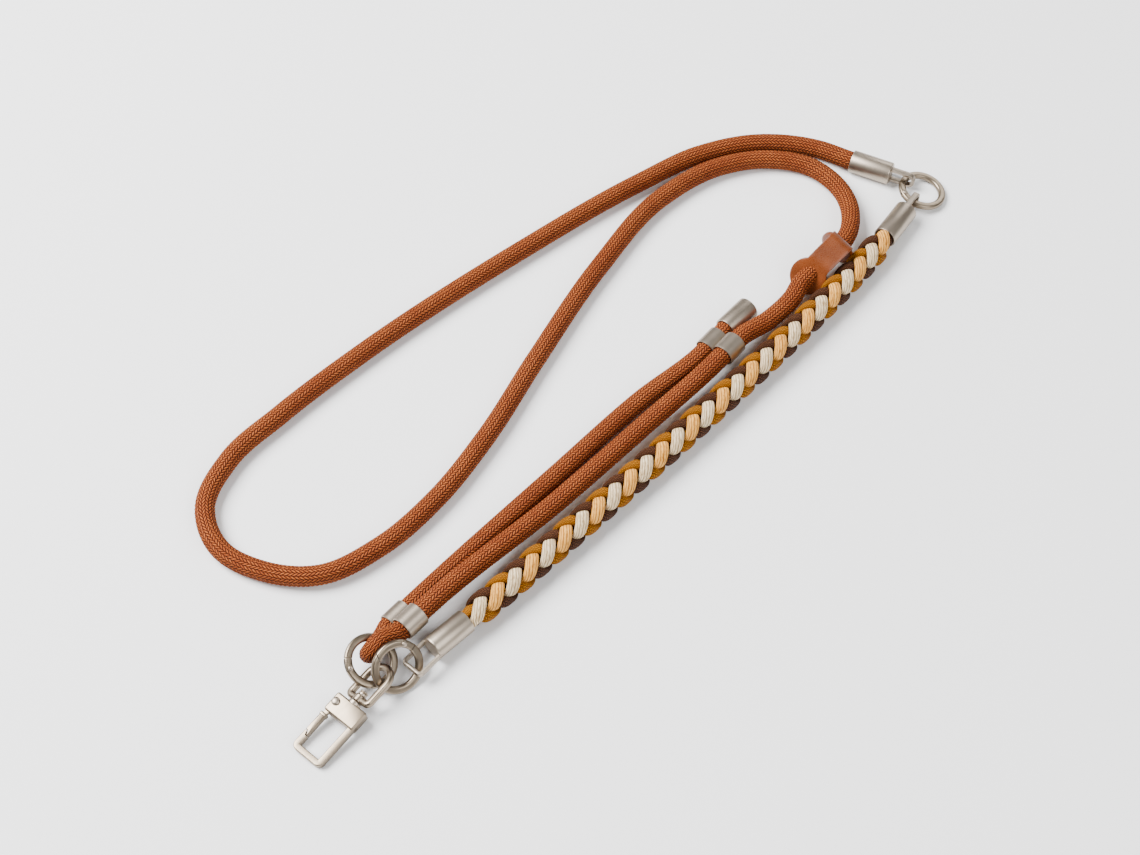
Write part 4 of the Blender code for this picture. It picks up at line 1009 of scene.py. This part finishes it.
def make_ring(node, centre, tilt, uphill, heel, pivot, free):
    at = ring_frame(centre, tilt, uphill)
    heel, pivot, free = (math.radians(angle) for angle in (heel, pivot, free))
    way = 1 if free > heel else -1
    half_gap = FIT_GAP / 2 / RING_RADIUS
    reach = 2 * RING_RADIUS * math.sin(abs(free - pivot) / 2)
    gate_steps = round(RING_STEPS * abs(free - heel) / (2 * math.pi))

    body = Shape().loft(ring_bar(lambda r: pivot + way * swing_angle(r, reach + FIT_GAP / 2),
                                 lambda r: heel + way * (2 * math.pi - half_gap), RING_STEPS - gate_steps))
    half = RING_TONGUE_WIDTH / 2
    root = heel - way * RING_TONGUE_ROOT
    outline = [ring_point(RING_RADIUS + half, root + (pivot - root) * i / 6) for i in range(6)]
    outline += arc(ring_point(RING_RADIUS, pivot), half, pivot, pivot + way * math.pi, 16)
    outline += [ring_point(RING_RADIUS - half, pivot + (root - pivot) * i / 6) for i in range(1, 7)]
    thin = RING_TONGUE_THICKNESS / 2
    body.loft([[(x, y, z) for x, y in outline] for z in (-thin, thin)])
    metal(node + "_bar", body, [node], at, turned=False)

    gate = Shape().loft(ring_bar(lambda r: heel + way * half_gap,
                                 lambda r: pivot + way * swing_angle(r, reach - FIT_GAP / 2), gate_steps))
    far = heel - way * RING_SLOT_REACH
    wide = 2 * RING_RADIAL
    slot = [ring_point(RING_RADIUS + wide, far)]
    slot += arc(ring_point(RING_RADIUS, pivot), 1.1 * half + FIT_GAP, pivot, pivot + way * math.pi, 15)
    slot.append(ring_point(RING_RADIUS - wide, far))
    thin += FIT_GAP
    metal(node + "_latch", gate, [node + "_gate"], at, node + "_gate_body", [flat_prism(slot, thin)], False)

    hinge = ring_point(RING_RADIUS, pivot)
    upright = Matrix.Translation((*hinge, 0)) @ Matrix.Rotation(-math.pi / 2, 4, "Y")
    metal(node + "_stud", rivet_shape(RING_AXIAL / 2, RING_RIVET_HEAD, RING_RIVET_DOME, RING_DIMPLE),
          [node + "_rivet"], at @ upright)


# Snap hook

COLLAR_FACE = -BOW_WIRE - FIT_GAP
BLOCK_FRONT = COLLAR_FACE - COLLAR_LENGTH
BLOCK_BACK = BLOCK_FRONT - BLOCK_LENGTH
HOLE_END = BLOCK_BACK - HOOK_HOLE_LENGTH
HOOK_HALF = HOOK_WIDTH / 2
HOLE_HALF = HOOK_HALF - HOOK_BAR
HOOK_PIVOT = (BLOCK_BACK + HOOK_PIVOT_SETBACK, HOOK_PIVOT_SIDE)
PIVOT_FRAME = HOOK_FRAME @ Matrix.Translation((*HOOK_PIVOT, 0))


def gate_cut(offset, outer, inner):
    """Stepped cut near the gate's tip, as arcs about the pivot."""
    step = GATE_STEP_SIDE + offset
    stations = [(outer, GATE_OUTER_REACH), (step + GATE_STEP_WIDTH, GATE_OUTER_REACH),
                (step - GATE_STEP_WIDTH, GATE_INNER_REACH), (inner, GATE_INNER_REACH)]
    points = []
    for side, reach in stations:
        reach += offset
        points.append((HOOK_PIVOT[0] - math.sqrt(reach ** 2 - side ** 2), HOOK_PIVOT[1] + side))
    return points


def make_bow():
    half = BOW_WIDTH / 2
    path = arc((BOW_LENGTH - half, 0), half, math.pi / 2, -math.pi / 2, 32)
    path += arc((BOW_CORNER, BOW_CORNER - half), BOW_CORNER, -math.pi / 2, -math.pi, 8)
    path += arc((BOW_CORNER, half - BOW_CORNER), BOW_CORNER, math.pi, math.pi / 2, 8)
    section = rounded_section(2 * BOW_WIRE, 2 * BOW_WIRE, BOW_EDGE, 5)
    shape = Shape().loft(sweep_flat(path, section, True), closed=True)
    boss = [(-BOW_WIRE, 0), (-BOW_WIRE, BOW_BOSS - 0.0003), (0.0003 - BOW_WIRE, BOW_BOSS)]
    shape.turned(boss + [(-x, r) for x, r in reversed(boss)], 40)
    metal("hook_bow_metal", shape, ["hook_bow"], BOW_FRAME, turned=False)


def make_hook_frame():
    """Bent bar, slotted block and collar."""
    middle = HOOK_HALF - HOOK_BAR / 2
    corner = HOOK_CORNER - HOOK_BAR / 2 + 0.0004
    end = HOLE_END - HOOK_BAR / 2
    inside_block = BLOCK_BACK + 0.25 * BLOCK_LENGTH
    path = [(inside_block, -middle)]
    path += arc((end + corner, corner - middle), corner, -math.pi / 2, -math.pi, 10)
    path += arc((end + corner, middle - corner), corner, math.pi, math.pi / 2, 10) + [(inside_block, middle)]
    shape = Shape().loft(sweep_flat(path, rounded_section(HOOK_BAR, HOOK_BAR_THICKNESS, HOOK_BAR_EDGE)))
    outside = HOOK_HALF + 2 * CUT_SPARE
    inside = HOLE_HALF - CUT_SPARE
    channel = gate_cut(FIT_GAP / 2, outside - HOOK_PIVOT_SIDE, inside - HOOK_PIVOT_SIDE)
    channel += [(BLOCK_BACK + CUT_SPARE, inside), (BLOCK_BACK + CUT_SPARE, outside)]
    metal("hook_bar_metal", shape, ["hook_frame"], HOOK_FRAME, "hook",
          [flat_prism(channel, BLOCK_THICKNESS)], False)

    section = rounded_section(BLOCK_LENGTH, HOOK_WIDTH, 0.4 * HOOK_CORNER, 6)
    block_middle = (BLOCK_FRONT + BLOCK_BACK) / 2
    block = Shape().plate([(block_middle + x, y) for x, y in section], BLOCK_THICKNESS / 2, BLOCK_EDGE)
    slot_inner = HOOK_PIVOT_SIDE - HOOK_PIVOT_SETBACK * math.sin(GATE_SWING) - GATE_TONGUE_RADIUS
    slot_front = HOOK_PIVOT[0] + GATE_TONGUE_RADIUS + 2 * FIT_GAP
    slot_back = BLOCK_BACK - 2 * CUT_SPARE
    slot = [(slot_back, slot_inner), (slot_front, slot_inner), (slot_front, outside), (slot_back, outside)]
    metal("hook_block_metal", block, ["hook_frame"], HOOK_FRAME, "hook",
          [flat_prism(slot, GATE_TONGUE_THICKNESS / 2 + FIT_GAP)], False)

    root = BLOCK_FRONT - CUT_SPARE
    ring = [(root, 0), (root, COLLAR_RADIUS), (COLLAR_FACE - COLLAR_EDGE, COLLAR_RADIUS),
            (COLLAR_FACE, COLLAR_RADIUS - COLLAR_EDGE), (COLLAR_FACE, 0)]
    metal("hook_collar_metal", Shape().turned(ring, 40), ["hook_frame"], HOOK_FRAME, "hook")


def make_hook_pin():
    head = BOW_WIRE + FIT_GAP
    end = head + PIN_HEAD_LENGTH
    groove = head + 0.5 * PIN_HEAD_LENGTH
    half = 0.16 * PIN_HEAD_LENGTH
    profile = [(BLOCK_FRONT - PIN_DEPTH, 0), (BLOCK_FRONT - PIN_DEPTH, PIN_RADIUS), (head, PIN_RADIUS),
               (head, PIN_HEAD_RADIUS), (groove - half, PIN_HEAD_RADIUS), (groove, 0.85 * PIN_HEAD_RADIUS),
               (groove + half, PIN_HEAD_RADIUS), (end - half, 0.97 * PIN_HEAD_RADIUS),
               (end - 0.3 * half, 0.8 * PIN_HEAD_RADIUS), (end, 0.5 * PIN_HEAD_RADIUS), (end, 0)]
    metal("hook_pin_metal", Shape().turned(profile, 40), ["hook_pin"], HOOK_FRAME, "hook")


def make_hook_gate():
    """Tongue, collar and bar with a stepped tip, in the hook's frame."""
    inner = HOLE_HALF + FIT_GAP / 2
    root = HOOK_PIVOT[0] - HOOK_PIVOT_SETBACK - GATE_BAR_SETBACK
    tip = gate_cut(-FIT_GAP / 2, HOOK_HALF - HOOK_PIVOT_SIDE, inner - HOOK_PIVOT_SIDE)
    shape = Shape().plate(tip + [(root, inner), (root, HOOK_HALF)], HOOK_BAR_THICKNESS / 2, GATE_EDGE)
    stand = GATE_COLLAR_STAND
    low, high = inner - stand, HOOK_HALF + stand
    back = root - GATE_COLLAR_LENGTH
    collar = [(root + stand, low), (root + stand, high), (back, high), (back, low)]
    shape.plate(collar, HOOK_BAR_THICKNESS / 2 + stand, GATE_EDGE)
    middle = root - GATE_COLLAR_LENGTH / 2
    tongue = arc(HOOK_PIVOT, GATE_TONGUE_RADIUS, -math.pi / 2, math.pi / 2, 16)
    tongue += [(middle, HOOK_HALF - GATE_EDGE), (middle, inner + GATE_EDGE)]
    shape.plate(tongue, GATE_TONGUE_THICKNESS / 2, GATE_EDGE / 2)
    metal("hook_gate_metal", shape, ["hook_gate"], HOOK_FRAME, "hook_gate_body", turned=False)


def make_hook():
    make_bow()
    make_hook_frame()
    make_hook_pin()
    make_hook_gate()
    upright = PIVOT_FRAME @ Matrix.Rotation(-math.pi / 2, 4, "Y")
    metal("hook_stud", rivet_shape(BLOCK_THICKNESS / 2, HOOK_RIVET_HEAD, HOOK_RIVET_DOME), ["hook_rivet"],
          upright, "hook")


# Leather keeper

def keeper_path():
    """Runs of the strip's middle line: (length, turn)."""
    lean, ramp = KEEPER_LEAN, KEEPER_RAMP
    front = KEEPER_DISC_RADIUS + KEEPER_FRONT_STRAIGHT
    straight = front - KEEPER_DISC_RADIUS
    x = straight * math.cos(lean) + KEEPER_FRONT_BEND * (math.sin(lean) - math.sin(ramp))
    z = straight * math.sin(lean) + KEEPER_FRONT_BEND * (math.cos(ramp) - math.cos(lean))
    climb = (KEEPER_SPAN - x - KEEPER_CREST_BEND * (1 + math.sin(ramp))) / math.cos(ramp)
    drop = z + climb * math.sin(ramp) - KEEPER_CREST_BEND * math.cos(ramp) + KEEPER_DISC_RADIUS
    return [(front, 0.0), (KEEPER_FRONT_BEND * (lean - ramp), ramp - lean), (climb, 0.0),
            (KEEPER_CREST_BEND * (math.pi / 2 + ramp), -math.pi / 2 - ramp), (drop, 0.0)]


def keeper_point(runs, travel):
    x = -KEEPER_DISC_RADIUS * math.cos(KEEPER_LEAN)
    z = -KEEPER_DISC_RADIUS * math.sin(KEEPER_LEAN)
    angle = KEEPER_LEAN
    for length, turn in runs:
        part = min(travel, length)
        swung = turn * part / length
        chord = part if abs(swung) < 1e-9 else part * math.sin(swung / 2) / (swung / 2)
        x += chord * math.cos(angle + swung / 2)
        z += chord * math.sin(angle + swung / 2)
        angle += swung
        travel -= part
        if travel <= 0:
            break
    return x, z, angle


def keeper_section(half):
    """Points round the strip as (side, height), with soft edges, and the number of steps across."""
    edge = KEEPER_EDGE
    high = KEEPER_THICKNESS / 2
    across = 10
    top = [(half - edge - 2 * (half - edge) * i / across, high) for i in range(across + 1)]
    points = [(half - 0.3 * edge, high - 0.3 * edge)] + top
    points += [(0.3 * edge - half, high - 0.3 * edge), (-half, high - edge), (-half, edge - high)]
    points += [(x, -z) for x, z in reversed(top)] + [(half, edge - high), (half, high - edge)]
    return points, across


def leather_side(j, across):
    """Material of the strip's face between the points j and j + 1: 0 outside, 1 back, 2 cut edge."""
    if j <= across + 1:
        return 0
    if across + 4 <= j < 2 * across + 4:
        return 1
    return 2


def make_keeper():
    runs = keeper_path()
    whole = sum(length for length, turn in runs)
    neck = KEEPER_NECK_WIDTH / 2
    shoulder = math.pi - math.asin(neck / KEEPER_DISC_RADIUS)
    disc = []
    for step in range(25):
        angle = math.radians(6) + (shoulder - math.radians(6)) * step / 24
        disc.append((KEEPER_DISC_RADIUS * (1 - math.cos(angle)), KEEPER_DISC_RADIUS * math.sin(angle)))
    first = disc[-1][0]
    last = whole - first
    count = 36
    stations = disc + [(first + (last - first) * i / count, neck) for i in range(1, count)]
    stations += [(whole - travel, half) for travel, half in reversed(disc)]
    loops = []
    for travel, half in stations:
        x, z, angle = keeper_point(runs, travel)
        points, across = keeper_section(half)
        loops.append([(x - math.sin(angle) * h, s, z + math.cos(angle) * h) for s, h in points])
    shape = Shape().loft(loops)
    size = len(loops[0])
    walls = (len(loops) - 1) * size
    shape.kinds = [leather_side(i % size, across) if i < walls else 2 for i in range(len(shape.faces))]
    hole = rod(-KEEPER_DISC_RADIUS, KEEPER_SPAN + KEEPER_DISC_RADIUS, ROPE_RADIUS - FIT_GAP, 48)
    hole.kinds = [2] * len(hole.kinds)
    leathers = [LEATHER_FACE, LEATHER_BACK, LEATHER_EDGE]
    piece("keeper_strip", shape, leathers, ["leather_keeper"], at=KEEPER_FRAME, cuts=[hole],
          sharp=LEATHER_SHARP)


add_camera()
add_floor()
add_world()
for light_name, light_values in LIGHTS.items():
    add_light(light_name, *light_values)
make_rope(make_caps())
make_braid()
make_ferrule("upper_ferrule_metal", "upper_ferrule", UPPER_FERRULE_FRAME)
make_ferrule("lower_ferrule_metal", "lower_ferrule", LOWER_FERRULE_FRAME)
for ring_name, ring_values in RINGS.items():
    make_ring(ring_name, *ring_values)
make_hook()
make_keeper()
